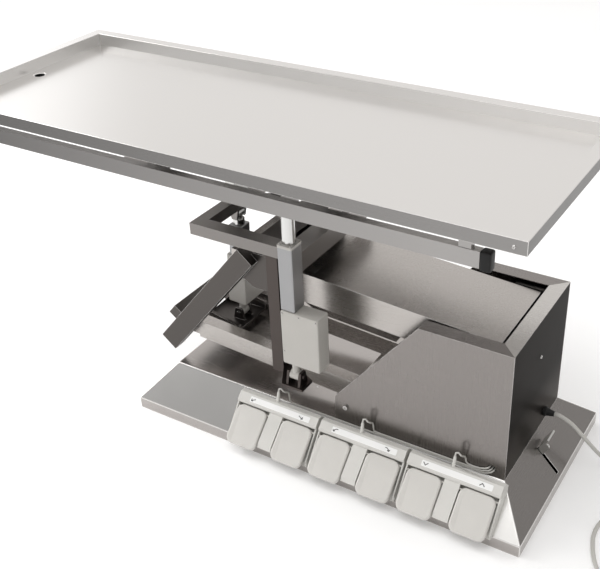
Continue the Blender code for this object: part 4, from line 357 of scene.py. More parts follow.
class Skin(Enum):
    """Every finish on the table. Some are copies of one steel, lighter or darker by where their faces point
    or stand: painted highlights and painted shade.
    """

    TRAY = SteelFinish("satin_tray_steel", (0.70, 0.685, 0.67), 0.22, lines=0.002, contrast=0.008,
                       smear=0.01, edge_highlight=False)
    # Painted highlight: a near-white copy of the tray steel for the rim's walls and the drain ring
    WALL = SteelFinish("tray_wall_steel_painted_highlight", (1.0, 0.985, 0.97), 0.30, lines=0.002, contrast=0.01)
    # Painted highlight with painted shade: a near-white steel for the rear wall, darker towards the left
    REAR_WALL = SteelFinish("tray_rear_wall_steel_painted_highlight_and_shade", (1.0, 0.985, 0.97), 0.30, lines=0.002, contrast=0.01,
                            painted_shade_ramp=(-0.85, 0.30, 0.55))
    # Painted shade: a near-black steel for the skirt's right-facing end
    SKIRT_END = SteelFinish("brushed_skirt_end_steel_painted_shade", (0.13, 0.126, 0.122), 0.28, grain=Grain.ALONG_Y)
    # Painted shade: a darker steel for the skirt, darker still towards the left
    SKIRT = SteelFinish("brushed_skirt_steel_painted_shade", (0.26, 0.253, 0.247), 0.27, painted_shade_ramp=(-0.95, 0.45, 0.31))
    # Painted shade: the beams get darker towards the left
    BEAM = SteelFinish("brushed_beam_steel_painted_shade", (0.335, 0.324, 0.317), 0.28, painted_shade_ramp=(-0.95, 0.30, 0.27))
    COVER = SteelFinish("brushed_cover_steel", (0.44, 0.415, 0.40), 0.25)
    HOUSING = SteelFinish("brushed_housing_steel", (0.255, 0.237, 0.227), 0.26, grain=Grain.ALONG_Z)
    # Painted highlight: a light steel for the upward faces of the housing's end wall
    FLANGE = SteelFinish("flange_steel_painted_highlight", (0.56, 0.54, 0.52), 0.26)
    # Painted shade: a near-black steel for the housing's end wall, darker towards its top, with dimmed
    # grazing reflections
    END = SteelFinish("brushed_end_steel_painted_shade", (0.15, 0.138, 0.129), 0.28, grain=Grain.ALONG_Z, rim=0.45,
                      painted_shade_ramp=(0.22, 0.12, 0.25), painted_shade_axis=2)
    # Painted highlight with painted shade: a near-white steel for the base's front slope, held down to 0.42
    # of it left of x 0.36 and full past x 0.44
    FRONT_SLOPE = SteelFinish("front_slope_steel_painted_highlight_and_shade", (0.95, 0.94, 0.92), 0.24, painted_shade_ramp=(0.36, 0.44, 0.42))
    # Painted shade: a darker steel for the base's right-facing slope
    END_SLOPE = SteelFinish("end_slope_steel_painted_shade", (0.27, 0.255, 0.245), 0.25, grain=Grain.ALONG_Y)
    FRAME = SteelFinish("dark_frame_steel", (0.22, 0.207, 0.198), 0.32)
    HEAD = SteelFinish("dark_head_steel", (0.10, 0.092, 0.087), 0.32, grain=Grain.ALONG_Z, rim=0.6)
    POST = SteelFinish("dark_post_steel", (0.085, 0.073, 0.068), 0.34, grain=Grain.ALONG_Z, rim=0.6,
                       edge_highlight=False)
    CROSSWISE = SteelFinish("dark_cross_steel", (0.25, 0.235, 0.225), 0.32, grain=Grain.ALONG_Y)
    ARM = SteelFinish("brushed_arm_steel", (0.46, 0.435, 0.415), 0.26, slope=0.065)
    # Painted highlight: a light steel put on the roundings in place of the light that rounded edges catch
    BEND = SteelFinish("painted_edge_highlight_steel", (0.78, 0.765, 0.75), 0.24, lines=0.002, contrast=0.01)
    ZINC = SteelFinish("zinc_plated_steel", (0.58, 0.58, 0.56), 0.30, lines=0.002, contrast=0.08, edge_highlight=False)
    TUBE = SteelFinish("anodised_tube", (0.33, 0.33, 0.335), 0.38, grain=Grain.ALONG_Z, edge_highlight=False)
    ROD = SteelFinish("polished_rod", (0.62, 0.62, 0.61), 0.18, grain=Grain.ALONG_Z, lines=0.002, edge_highlight=False)
    SCREW = SteelFinish("screw_steel", (0.50, 0.49, 0.48), 0.22, lines=0.002, contrast=0.03, edge_highlight=False)
    MOTOR = PlasticFinish("warm_grey_casing", (0.445, 0.43, 0.402), 0.42)
    PEDAL = PlasticFinish("pale_pedal_plastic", (0.59, 0.575, 0.545), 0.36)
    SWITCH = PlasticFinish("pale_switch_plastic", (0.62, 0.61, 0.58), 0.34)
    LABEL = PlasticFinish("white_symbol_strip", (0.86, 0.86, 0.85), 0.40, skin=0.01)
    SYMBOL = PlasticFinish("grey_symbol", (0.05, 0.05, 0.052), 0.45, skin=0.01)
    BLACK = PlasticFinish("black_plastic", (0.009, 0.009, 0.009), 0.42, shine=0.25)
    CORD = PlasticFinish("grey_cord_sheath", (0.52, 0.51, 0.48), 0.48, skin=0.03)
    WHEEL = PlasticFinish("grey_wheel_rubber", (0.16, 0.16, 0.16), 0.60)


class Finishes:
    """The shared groups and one material for each finish."""

    def __init__(self) -> None:
        """Build the groups and the materials."""
        self.grain = brushed_grain_group()
        self.marks = handling_group()
        self.skin = moulded_skin_group()
        self.heads = fastener_tree()
        self.materials = {skin: skin.value.material(self) for skin in Skin}

    def put(self, item: Object, skin: Skin) -> None:
        """Give an object one finish."""
        item.data.materials.clear()
        item.data.materials.append(self.materials[skin])


# Mesh tools

def linked(name: str, data: ID) -> Object:
    """Put a mesh, a curve, a camera or a lamp in the scene as an object.

    Args:
        name: the object's name.
        data: its data, which gets the same name.

    Returns:
        The object.
    """
    data.name = name
    item = bpy.data.objects.new(name, data)
    bpy.context.scene.collection.objects.link(item)
    return item


def built(name: str, shape: BMesh) -> Object:
    """Turn a finished shape into an object.

    Args:
        name: the object's name.
        shape: the shape, which is freed.

    Returns:
        The object.
    """
    mesh = bpy.data.meshes.new(name)
    shape.to_mesh(mesh)
    shape.free()
    return linked(name, mesh)


def baked(item: Object) -> None:
    """Turn an object with modifiers into a plain mesh object.

    Args:
        item: the object.
    """
    shape = item.evaluated_get(bpy.context.evaluated_depsgraph_get())
    mesh = bpy.data.meshes.new_from_object(shape)
    item.modifiers.clear()
    item.data = mesh
    mesh.name = item.name


def narrowest(edge: BMEdge) -> float:
    """Return how wide the narrower face beside an edge is, across the edge.

    Args:
        edge: the edge.

    Returns:
        The width in metres.
    """
    start = edge.verts[0].co
    along = (edge.verts[1].co - start).normalized()
    widths = []
    for face in edge.link_faces:
        offsets = [vertex.co - start for vertex in face.verts]
        widths.append(max((offset - along * offset.dot(along)).length for offset in offsets))
    return min(widths)


def softened(node: str, width: float, sharpest: float, trim: Trim | None) -> Object:
    """Copy a CAD node's mesh, join its triangles and round its sharp edges.

    Args:
        node: the node's name.
        width: the widest rounding, in metres.
        sharpest: edges that turn more than this many degrees are rounded.
        trim: cuts or moves the shape before it is rounded.

    Returns:
        The new object, which replaces the node. Its second slot is for the roundings.
    """
    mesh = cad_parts[node].data.copy()
    mesh.attributes.new("bevel_weight_edge", "FLOAT", "EDGE")
    shape = bmesh.new()
    shape.from_mesh(mesh)
    bmesh.ops.remove_doubles(shape, verts=shape.verts, dist=SAME_PLACE)
    bmesh.ops.dissolve_limit(shape, angle_limit=FLAT_ANGLE, verts=shape.verts, edges=shape.edges)
    if trim:
        trim(shape)
    weight = shape.edges.layers.float.get("bevel_weight_edge")
    for edge in shape.edges:
        edge.smooth = True
        if len(edge.link_faces) == 2 and edge.calc_face_angle(0) > math.radians(sharpest):
            edge[weight] = min(1.0, ROUNDED_SHARE * narrowest(edge) / width)
    for face in shape.faces:
        face.smooth = True
        face.material_index = 0
    shape.to_mesh(mesh)
    shape.free()
    if mesh.has_custom_normals:
        mesh.attributes.remove(mesh.attributes["custom_normal"])
    while len(mesh.materials) < 2:
        mesh.materials.append(None)
    item = linked(node + "_rounded", mesh)
    bevel = item.modifiers.new("rounding", "BEVEL")
    bevel.width = width
    bevel.segments = ROUNDING_STEPS
    bevel.limit_method = "WEIGHT"
    bevel.use_clamp_overlap = True
    bevel.material = 1
    bevel.miter_outer = "MITER_ARC"
    baked(item)
    item.data.shade_smooth()
    item.data.set_sharp_from_angle(angle=SHARP_ANGLE)
    weighted = item.modifiers.new("flat_faces", "WEIGHTED_NORMAL")
    weighted.weight = 100
    weighted.keep_sharp = True
    baked(item)
    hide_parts(node)
    return item


def shift_band(shape: BMesh, axis: int, start: float, end: float, by: float) -> None:
    """Move the points in a band on both sides of a middle plane away from that plane.

    Args:
        shape: the shape.
        axis: the axis that the plane is square to.
        start: the distance from the plane at which the band starts.
        end: the distance at which it ends.
        by: how far the points move.
    """
    for vertex in shape.verts:
        if start < abs(vertex.co[axis]) < end:
            vertex.co[axis] += math.copysign(by, vertex.co[axis])


def prism(name: str, outline: list[Flat], low: float, high: float, place: Matrix) -> Object:
    """Make a flat plate from its outline.

    Args:
        name: the object's name.
        outline: the corners, counter-clockwise.
        low: the lower face's height.
        high: the upper face's height.
        place: the matrix that puts it in the table's frame.

    Returns:
        The object.
    """
    shape = bmesh.new()
    base = [shape.verts.new((x, y, low)) for x, y in outline]
    crown = [shape.verts.new((x, y, high)) for x, y in outline]
    shape.faces.new(list(reversed(base)))
    shape.faces.new(crown)
    for index in range(len(outline)):
        after = (index + 1) % len(outline)
        shape.faces.new((base[index], base[after], crown[after], crown[index]))
    bmesh.ops.transform(shape, matrix=place, verts=shape.verts)
    return built(name, shape)


def rounded_rectangle(left: float, right: float, low: float, high: float, radius: float) -> list[Flat]:
    """Return the outline of a rectangle with round corners, counter-clockwise.

    Args:
        left: lowest x.
        right: highest x.
        low: lowest y.
        high: highest y.
        radius: the corners' radius.

    Returns:
        The outline's points.
    """
    corners = [(right - radius, low + radius, -90), (right - radius, high - radius, 0),
               (left + radius, high - radius, 90), (left + radius, low + radius, 180)]
    points = []
    for x, y, start in corners:
        for step in range(CORNER_STEPS + 1):
            angle = math.radians(start + 90 * step / CORNER_STEPS)
            points.append((x + radius * math.cos(angle), y + radius * math.sin(angle)))
    return points


def holed_plate(name: str, outline: list[Flat], middle: Flat, bore: float, low: float,
                high: float) -> Object:
    """Make a level plate with a round hole.

    Args:
        name: the object's name.
        outline: the plate's corners, counter-clockwise.
        middle: the hole's middle.
        bore: the hole's radius.
        low: the lower face's height.
        high: the upper face's height.

    Returns:
        The object.
    """
    centre = Vector(middle)
    hole = [centre + (Vector(point) - centre).normalized() * bore for point in outline]
    shape = bmesh.new()
    rings = [[shape.verts.new((point[0], point[1], height)) for point in points]
             for points, height in ((outline, high), (outline, low), (hole, low), (hole, high))]
    count = len(outline)
    for first, second in zip(rings, rings[1:] + rings[:1]):
        for index in range(count):
            after = (index + 1) % count
            shape.faces.new((first[index], second[index], second[after], first[after]))
    bmesh.ops.recalc_face_normals(shape, faces=shape.faces)
    return built(name, shape)


def stroke(points: list[Flat], width: float) -> list[Flat]:
    """Return the outline of a pen stroke of one width through some points.

    Args:
        points: the stroke's middle line.
        width: its width.

    Returns:
        The outline's points, counter-clockwise.
    """
    left = []
    right = []
    line = [Vector(point) for point in points]
    steps = [(after - before).normalized() for before, after in zip(line, line[1:])]
    for here, first, second in zip(line, steps[:1] + steps, steps + steps[-1:]):
        along = (first + second).normalized()
        side = Vector((-along.y, along.x)) * width / 2 / max(0.5, along.dot(first))
        left.append(tuple(here + side))
        right.append(tuple(here - side))
    return right + left[::-1]


def joined(name: str, items: list[Object]) -> Object:
    """Join plain mesh objects into one.

    Args:
        name: the new object's name.
        items: the objects.

    Returns:
        The joined object.
    """
    shape = bmesh.new()
    for item in items:
        shape.from_mesh(item.data)
        bpy.data.objects.remove(item)
    return built(name, shape)


# Geometry node pieces

def fastener_tree() -> NodeTree:
    """Make the tree that sets a fastener's head with its recess on every point, turned to the point's axis.

    Returns:
        The geometry tree.
    """
    tree, given, result = new_group("fastener_heads", "GeometryNodeTree", {
        "Geometry": "Geometry", "Head Radius": "Float", "Head Height": "Float", "Head Sides": "Int",
        "Crown": "Float", "Recess Radius": "Float", "Recess Sides": "Int", "Seed": "Int",
        "Finish": "Material"}, {"Geometry": "Geometry"})
    out = given.outputs
    head = tree.add("GeometryNodeMeshCone", {
        "Vertices": out["Head Sides"], "Radius Top": tree.math("MULTIPLY", out["Head Radius"], out["Crown"]),
        "Radius Bottom": out["Head Radius"], "Depth": out["Head Height"]}).outputs["Mesh"]
    recess = tree.add("GeometryNodeMeshCylinder", {
        "Vertices": out["Recess Sides"], "Radius": out["Recess Radius"],
        "Depth": out["Head Height"]}).outputs["Mesh"]
    offset = tree.add("ShaderNodeCombineXYZ", {"Z": out["Head Height"]})
    recess = tree.add("GeometryNodeTransform", {"Geometry": recess, "Translation": offset})
    cut = tree.add("GeometryNodeMeshBoolean", {"Mesh 1": head, "Mesh 2": recess},
                   operation="DIFFERENCE").outputs["Mesh"]
    axis = tree.add("GeometryNodeInputNamedAttribute", {"Name": "axis"},
                    data_type="FLOAT_VECTOR").outputs["Attribute"]
    turn = tree.add("FunctionNodeAlignRotationToVector", {"Vector": axis}, axis="Z")
    spread = tree.add("GeometryNodeInstanceOnPoints", {
        "Points": out["Geometry"], "Instance": cut, "Rotation": turn})
    chance = tree.add("FunctionNodeRandomValue", {2: 0.0, 3: 6.28, "Seed": out["Seed"]}, data_type="FLOAT")
    spin = tree.add("ShaderNodeCombineXYZ", {"Z": chance.outputs[1]})
    spun = tree.add("GeometryNodeRotateInstances", {"Instances": spread, "Rotation": spin})
    real = tree.add("GeometryNodeRealizeInstances", {"Geometry": spun})
    dressed = tree.add("GeometryNodeSetMaterial", {"Geometry": real, "Material": out["Finish"]})
    tree.wire(result, {"Geometry": dressed})
    return tree.tree


def set_inputs(modifier: Modifier, values: dict[str, object]) -> None:
    """Set a geometry modifier's named inputs.

    Args:
        modifier: the modifier.
        values: the inputs' values by name.
    """
    for socket in modifier.node_group.interface.items_tree:
        if socket.item_type == "SOCKET" and socket.in_out == "INPUT" and socket.name in values:
            modifier[socket.identifier] = values[socket.name]


class Head(Enum):
    """Kinds of fastener head: radius, height, sides, crown, recess radius and recess sides."""

    PAN = (0.0040, 0.0020, 24, 0.72, 0.0016, 4)
    SMALL = (0.0022, 0.0012, 20, 0.75, 0.0009, 6)
    HEX = (0.0065, 0.0040, 6, 0.96, 0.0010, 12)


@dataclass
class Assembly:
    """A group of pieces that is dressed together, with the finishes at hand."""

    kit: Finishes

    def dress(self, skin: Skin, *nodes: str) -> None:
        """Give CAD nodes a finish and leave their shape.

        Args:
            skin: the finish.
            *nodes: the nodes' names.
        """
        for node in nodes:
            self.kit.put(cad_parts[node], skin)
            LOG.info("%s: %s", type(self).__name__, node)

    def round_off(self, skin: Skin, body: str, width: float, *nodes: str, sharpest: float = 28.0,
                  trim: Trim | None = None) -> None:
        """Replace CAD nodes with rounded copies of themselves.

        Args:
            skin: the finish.
            body: the body that they ride on.
            width: the widest rounding, in metres.
            *nodes: the nodes' names.
            sharpest: edges that turn more than this many degrees are rounded.
            trim: cuts or moves the shape before it is rounded.
        """
        for node in nodes:
            item = softened(node, width, sharpest, trim)
            item.data.materials[0] = self.kit.materials[skin]
            # The roundings' slot gets the painted highlight finish where the finish allows it
            item.data.materials[1] = self.kit.materials[Skin.BEND if skin.value.edge_highlight else skin]
            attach(item, body)
            LOG.info("%s: %s", type(self).__name__, item.name)

    def recoat(self, name: str, skin: Skin, chosen: Callable[[Vector, Vector], bool]) -> None:
        """Give some faces of a piece another finish, a copy of the steel with painted light and shade.

        Args:
            name: the piece's name.
            skin: the other finish.
            chosen: tells from a face's middle and its normal whether it gets the finish.
        """
        mesh = bpy.data.objects[name].data
        mesh.materials.append(self.kit.materials[skin])
        for face in mesh.polygons:
            if face.material_index == 0 and chosen(face.center, face.normal):
                face.material_index = len(mesh.materials) - 1

    def add(self, item: Object, skin: Skin, body: str) -> None:
        """Finish a new piece and hang it on its body.

        Args:
            item: the piece.
            skin: its finish.
            body: the body that it rides on.
        """
        self.kit.put(item, skin)
        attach(item, body)
        LOG.info("%s: %s", type(self).__name__, item.name)

    def fasten(self, name: str, body: str, head: Head, places: list[tuple[Point, Point]]) -> None:
        """Set fasteners on a body, as one mesh object.

        Args:
            name: the new object's name.
            body: the body that they ride on.
            head: the kind of head.
            places: a point and its outward direction, for each fastener.
        """
        mesh = bpy.data.meshes.new(name)
        mesh.from_pydata([place for place, _ in places], [], [])
        axes = mesh.attributes.new("axis", "FLOAT_VECTOR", "POINT")
        for index, (_, axis) in enumerate(places):
            axes.data[index].vector = axis
        item = linked(name, mesh)
        modifier = item.modifiers.new("heads", "NODES")
        modifier.node_group = self.kit.heads
        radius, height, sides, crown, recess, recess_sides = head.value
        set_inputs(modifier, {
            "Head Radius": radius, "Head Height": height, "Head Sides": sides, "Crown": crown,
            "Recess Radius": recess, "Recess Sides": recess_sides, "Seed": HEAD_SEED,
            "Finish": self.kit.materials[Skin.SCREW]})
        baked(item)
        item.data.set_sharp_from_angle(angle=HEAD_SHARP_ANGLE)
        self.add(item, Skin.SCREW, body)


# Sub-assemblies

@dataclass
class Base(Assembly):
    """The low base: pan, folded cover, housing, frame, wheels and lever."""

    bolt: Point = (0.044, 0.1523, 0.145)
    wall_screw: Point = (0.4083, 0.003, 0.306)

    def build(self) -> None:
        """Dress the base."""
        self.dress(Skin.COVER, "base_pan")
        self.round_off(Skin.COVER, "base", SHEET_EDGE, "base_shell")
        # Painted highlight and shade on the shell's front slope
        self.recoat("base_shell_rounded", Skin.FRONT_SLOPE,
                    lambda middle, normal: normal.y < -0.4 and normal.z > 0.3)
        # Painted shade on the shell's right-facing slope
        self.recoat("base_shell_rounded", Skin.END_SLOPE,
                    lambda middle, normal: normal.x > 0.4 and normal.z > 0.3)
        self.round_off(Skin.HOUSING, "base", PLATE_EDGE, "housing_front", "housing_rear")
        # The housing's end wall gets painted shade
        self.round_off(Skin.END, "base", PLATE_EDGE, "housing_end")
        # Painted highlight on the end wall's top flange
        self.recoat("housing_end_rounded", Skin.FLANGE, lambda middle, normal: normal.z > 0.7)
        self.round_off(Skin.FRAME, "base", FRAME_EDGE, "pivot_frame")
        self.dress(Skin.BLACK, "control_box")
        x, y, z = self.bolt
        self.fasten("housing_bolts", "base", Head.HEX, [((x, side * y, z), (0, side, 0)) for side in (-1, 1)])
        self.fasten("end_wall_screws", "base", Head.PAN, [(self.wall_screw, (1, 0, 0))])
        self.dress(Skin.ZINC, "castor_lever")
        self.dress(Skin.WHEEL, "castor_wheel_front", "castor_wheel_rear", "roller_front", "roller_rear")


class Sign(Enum):
    """Plain signs above the pedals, as pen strokes about their own middle, in the sign scale's units."""

    DOWN = (((-4.5, 2.2), (0.0, -2.2), (4.5, 2.2)),)
    UP = (((-4.5, -2.2), (0.0, 2.2), (4.5, -2.2)),)
    HEAD_LOW = (((-4.5, -2.6), (4.2, 1.4)), ((-3.9, 1.2), (-4.5, -2.6), (-1.0, -3.0)))
    HEAD_HIGH = (((4.5, -2.6), (-4.2, 1.4)), ((3.9, 1.2), (4.5, -2.6), (1.0, -3.0)))
    LEAN_LEFT = (((4.4, 2.6), (1.0, 2.4), (-2.2, 0.6), (-4.0, -2.6)),
                 ((-5.6, 0.6), (-4.0, -2.6), (-0.8, -1.4)))
    LEAN_RIGHT = (((-4.4, 2.6), (-1.0, 2.4), (2.2, 0.6), (4.0, -2.6)),
                  ((5.6, 0.6), (4.0, -2.6), (0.8, -1.4)))


@dataclass
class FootControls(Assembly):
    """The three foot switches with their six pedals, signs and leads."""

    first: Point = (-0.107, -0.152, 0.102)
    raised: float = 0.0005
    pitch: float = 0.212
    slope: float = math.atan2(0.074, 0.082)
    bar_face: float = 0.033
    bed_end: float = -0.1185
    strip: tuple[float, float, float, float] = (-0.072, 0.083, -0.0310, -0.0185)
    strip_corner: float = 0.002
    strip_sunk: float = 0.0006
    strip_proud: float = 0.0004
    sign_places: Flat = (-0.063, 0.0605)
    sign_scale: float = 1 / 850
    pen: float = 0.0017
    pen_relief: float = 0.0002
    sharpest: float = 38.0
    signs: tuple[tuple[Sign, Sign], ...] = (
        (Sign.HEAD_LOW, Sign.HEAD_HIGH), (Sign.LEAN_LEFT, Sign.LEAN_RIGHT), (Sign.DOWN, Sign.UP))

    def place(self, index: int) -> Matrix:
        """Return the matrix from a switch's own frame to the table's."""
        x, y, z = self.first
        origin = (x + index * self.pitch, y - self.raised * math.sin(self.slope),
                  z + self.raised * math.cos(self.slope))
        return Matrix.Translation(origin) @ Matrix.Rotation(self.slope, 4, "X")

    def build(self) -> None:
        """Dress the foot switches."""
        for index in range(3):
            number = index + 1
            self.round_off(Skin.SWITCH, "base", SWITCH_EDGE, f"foot_switch_{number}", sharpest=self.sharpest,
                           trim=partial(self.shorten_bed, index=index))
            self.dress(Skin.CORD, f"pedal_lead_{number}")
            for side in ("left", "right"):
                self.dress(Skin.PEDAL, f"pedal_{number}_{side}")
            self.build_signs(index)

    def shorten_bed(self, shape: BMesh, index: int) -> None:
        """Cut a switch's bed and web back behind the pedals' round ends.

        Args:
            shape: the switch's body.
            index: the switch's number from the left, counted from 0.
        """
        place = self.place(index)
        cut = bmesh.ops.bisect_plane(
            shape, geom=shape.verts[:] + shape.edges[:] + shape.faces[:], dist=CUT_REACH,
            plane_co=place @ Vector((0, self.bed_end, 0)), plane_no=place.to_3x3() @ Vector((0, -1, 0)),
            clear_outer=True)
        rim = [part for part in cut["geom_cut"] if isinstance(part, BMEdge)]
        bmesh.ops.edgenet_fill(shape, edges=rim)
        bmesh.ops.recalc_face_normals(shape, faces=shape.faces)

    def build_signs(self, index: int) -> None:
        """Lay the pale strip and its two signs on a head bar.

        Args:
            index: the switch's number from the left, counted from 0.
        """
        left, right, low, high = self.strip
        place = self.place(index)
        top = self.bar_face + self.strip_proud
        outline = rounded_rectangle(left, right, low, high, self.strip_corner)
        self.add(prism(f"sign_strip_{index + 1}", outline, self.bar_face - self.strip_sunk, top, place),
                 Skin.LABEL, "base")
        pieces = []
        for middle, sign in zip(self.sign_places, self.signs[index]):
            for line in sign.value:
                points = [(middle + x * self.sign_scale, (low + high) / 2 + y * self.sign_scale)
                          for x, y in line]
                pieces.append(prism("stroke", stroke(points, self.pen), top - self.pen_relief,
                                    top + self.pen_relief, place))
        self.add(joined(f"signs_{index + 1}", pieces), Skin.SYMBOL, "base")


class Lift(Assembly):
    """The parallelogram lift with its cover and actuator."""

    def build(self) -> None:
        """Dress the lift."""
        self.round_off(Skin.ARM, "lift_arm", ARM_EDGE, "lift_arm", "arm_cover")
        self.round_off(Skin.ARM, "lower_arm", ARM_EDGE, "lower_arm")
        self.dress(Skin.ROD, "lift_rod")
        self.dress(Skin.MOTOR, "lift_actuator")
        self.round_off(Skin.HEAD, "head", SHEET_EDGE, "head_side_front", "head_side_rear", "head_pivot_box",
                       "head_cradle")


@dataclass
class Tilt(Assembly):
    """The tilting ring with its post, bearings and two actuators."""

    cap_lip: float = 0.0006
    cap_half: float = 0.0030
    cap_bore: float = 0.0141
    cap_corner: float = 0.0035
    cap_screw_inset: float = 0.0045
    casing_screw_inset: float = 0.0055
    middle_screw: float = 0.45
    low_screw: float = 0.0175

    def build(self) -> None:
        """Dress the tilt."""
        self.round_off(Skin.FRAME, "ring", PLATE_EDGE, "ring_frame")
        self.round_off(Skin.POST, "ring", ARM_EDGE, "tilt_post")
        self.dress(Skin.ZINC, "tilt_bearing_left", "tilt_bearing_right")
        self.round_off(Skin.MOTOR, "tilt_actuator", CASING_EDGE, "tilt_motor")
        self.screw_casing()
        self.cap_tube()
        self.round_off(Skin.TUBE, "tilt_actuator", TUBE_EDGE, "tilt_tube")
        self.dress(Skin.ROD, "tilt_rod", "trend_rod")
        self.round_off(Skin.MOTOR, "trend_actuator", CASING_EDGE, "trend_motor")
        self.round_off(Skin.TUBE, "trend_actuator", TUBE_EDGE, "trend_tube")

    def cap_tube(self) -> None:
        """Close the side tilt actuator's square tube with a plate around its rod, held by two screws."""
        (left, front, _), (right, rear, top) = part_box("tilt_tube")
        lip, inset, high = self.cap_lip, self.cap_screw_inset, top + self.cap_half
        outline = rounded_rectangle(left - lip, right + lip, front - lip, rear + lip, self.cap_corner)
        middle = ((left + right) / 2, (front + rear) / 2)
        plate = holed_plate("tilt_tube_cap", outline, middle, self.cap_bore, top - self.cap_half, high)
        self.add(plate, Skin.MOTOR, "tilt_actuator")
        self.fasten("tilt_tube_cap_screws", "tilt_actuator", Head.SMALL,
                    [((x, front + inset, high), (0, 0, 1)) for x in (left + inset, right - inset)])

    def screw_casing(self) -> None:
        """Set the small screws of the side tilt actuator's front cover."""
        (left, front, low), (right, _, high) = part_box("tilt_motor")
        inset = self.casing_screw_inset
        places = [(left + inset, high - inset), ((left + right) / 2, high - inset),
                  (right - inset, high - inset), (left + inset, low + self.middle_screw * (high - low)),
                  (right - inset, low + self.low_screw)]
        self.fasten("tilt_casing_screws", "tilt_actuator", Head.SMALL,
                    [((x, front, z), (0, -1, 0)) for x, z in places])


@dataclass
class Top(Assembly):
    """The tray with the beams and cross members below it."""

    skirt_rise: float = 0.004
    skirt_band: float = 0.004
    skirt_screws: Flat = (0.433, -0.921)
    screw_side: float = 0.2736
    screw_height: float = 0.702
    edge_band: float = 0.0005
    beam_slimming: float = 0.011
    wall_band: Flat = (0.0025, 0.008)
    drain_bore: float = 0.0122
    drain_rim: float = 0.0060
    drain_sides: int = 36
    drain_sunk: float = 0.0006
    drain_proud: float = 0.0010

    def build(self) -> None:
        """Dress the top."""
        self.dress_tray()
        y, z = self.screw_side, self.screw_height
        self.fasten("skirt_screws", "top", Head.PAN, [
            ((x, side * y, z), (0, side, 0)) for x in self.skirt_screws for side in (-1, 1)])
        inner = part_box("beam_rear")[0][1]
        inside, outside = self.wall_band
        slim = partial(shift_band, axis=1, start=inner - inside, end=inner + outside, by=self.beam_slimming)
        self.round_off(Skin.BEAM, "top", CASING_EDGE, "beam_front", "beam_rear", trim=slim)
        self.round_off(Skin.CROSSWISE, "top", ARM_EDGE, "cross_frame", trim=slim)
        self.round_off(Skin.BLACK, "top", PLATE_EDGE, "beam_cap_front_left", "beam_cap_front_right",
                       "beam_cap_rear_left", "beam_cap_rear_right", trim=slim)
        self.dress(Skin.BLACK, "drain_fitting")
        # The drain ring gets the tray wall's painted highlight
        self.add(self.drain_ring(), Skin.WALL, "top")

    def dress_tray(self) -> None:
        """Dress the tray: its floor, its skirt with painted shade, and the walls of its rim with painted
        highlights.
        """
        low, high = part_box("tray")
        band = self.skirt_band
        self.round_off(Skin.TRAY, "top", TRAY_EDGE, "tray",
                       trim=partial(shift_band, axis=2, start=0, end=low[2] + self.edge_band,
                                    by=self.skirt_rise))
        # Painted shade on the skirt's right end
        self.recoat("tray_rounded", Skin.SKIRT_END,
                    lambda middle, normal: normal.x > 0.7 and middle.x > high[0] - band)
        # Painted shade on the skirt's sides and ends
        self.recoat("tray_rounded", Skin.SKIRT, lambda middle, normal: abs(normal.z) < 0.5 and (
            abs(middle.y) > high[1] - band or middle.x > high[0] - band or middle.x < low[0] + band))
        # Painted highlight and shade on the rim's inner rear wall
        self.recoat("tray_rounded", Skin.REAR_WALL,
                    lambda middle, normal: normal.y < -0.3 and middle.y > 0.7 * high[1])
        # Painted highlight on the slanted walls and upper faces of the rim
        self.recoat("tray_rounded", Skin.WALL, lambda middle, normal: 0.05 < abs(normal.z) < 0.93
                    or (abs(normal.z) <= 0.05 and middle.z > 0.6))

    def drain_ring(self) -> Object:
        """Return the pressed ring around the drain's hole, a little proud of the tray's floor."""
        (left, front, _), (right, rear, top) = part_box("drain_fitting")
        x, y = (left + right) / 2, (front + rear) / 2
        outer = self.drain_bore + self.drain_rim
        angles = [math.radians(step * 360 / self.drain_sides) for step in range(self.drain_sides)]
        outline = [(x + outer * math.cos(angle), y + outer * math.sin(angle)) for angle in angles]
        return holed_plate("drain_ring", outline, (x, y), self.drain_bore, top - self.drain_sunk,
                           top + self.drain_proud)


# Mains cord

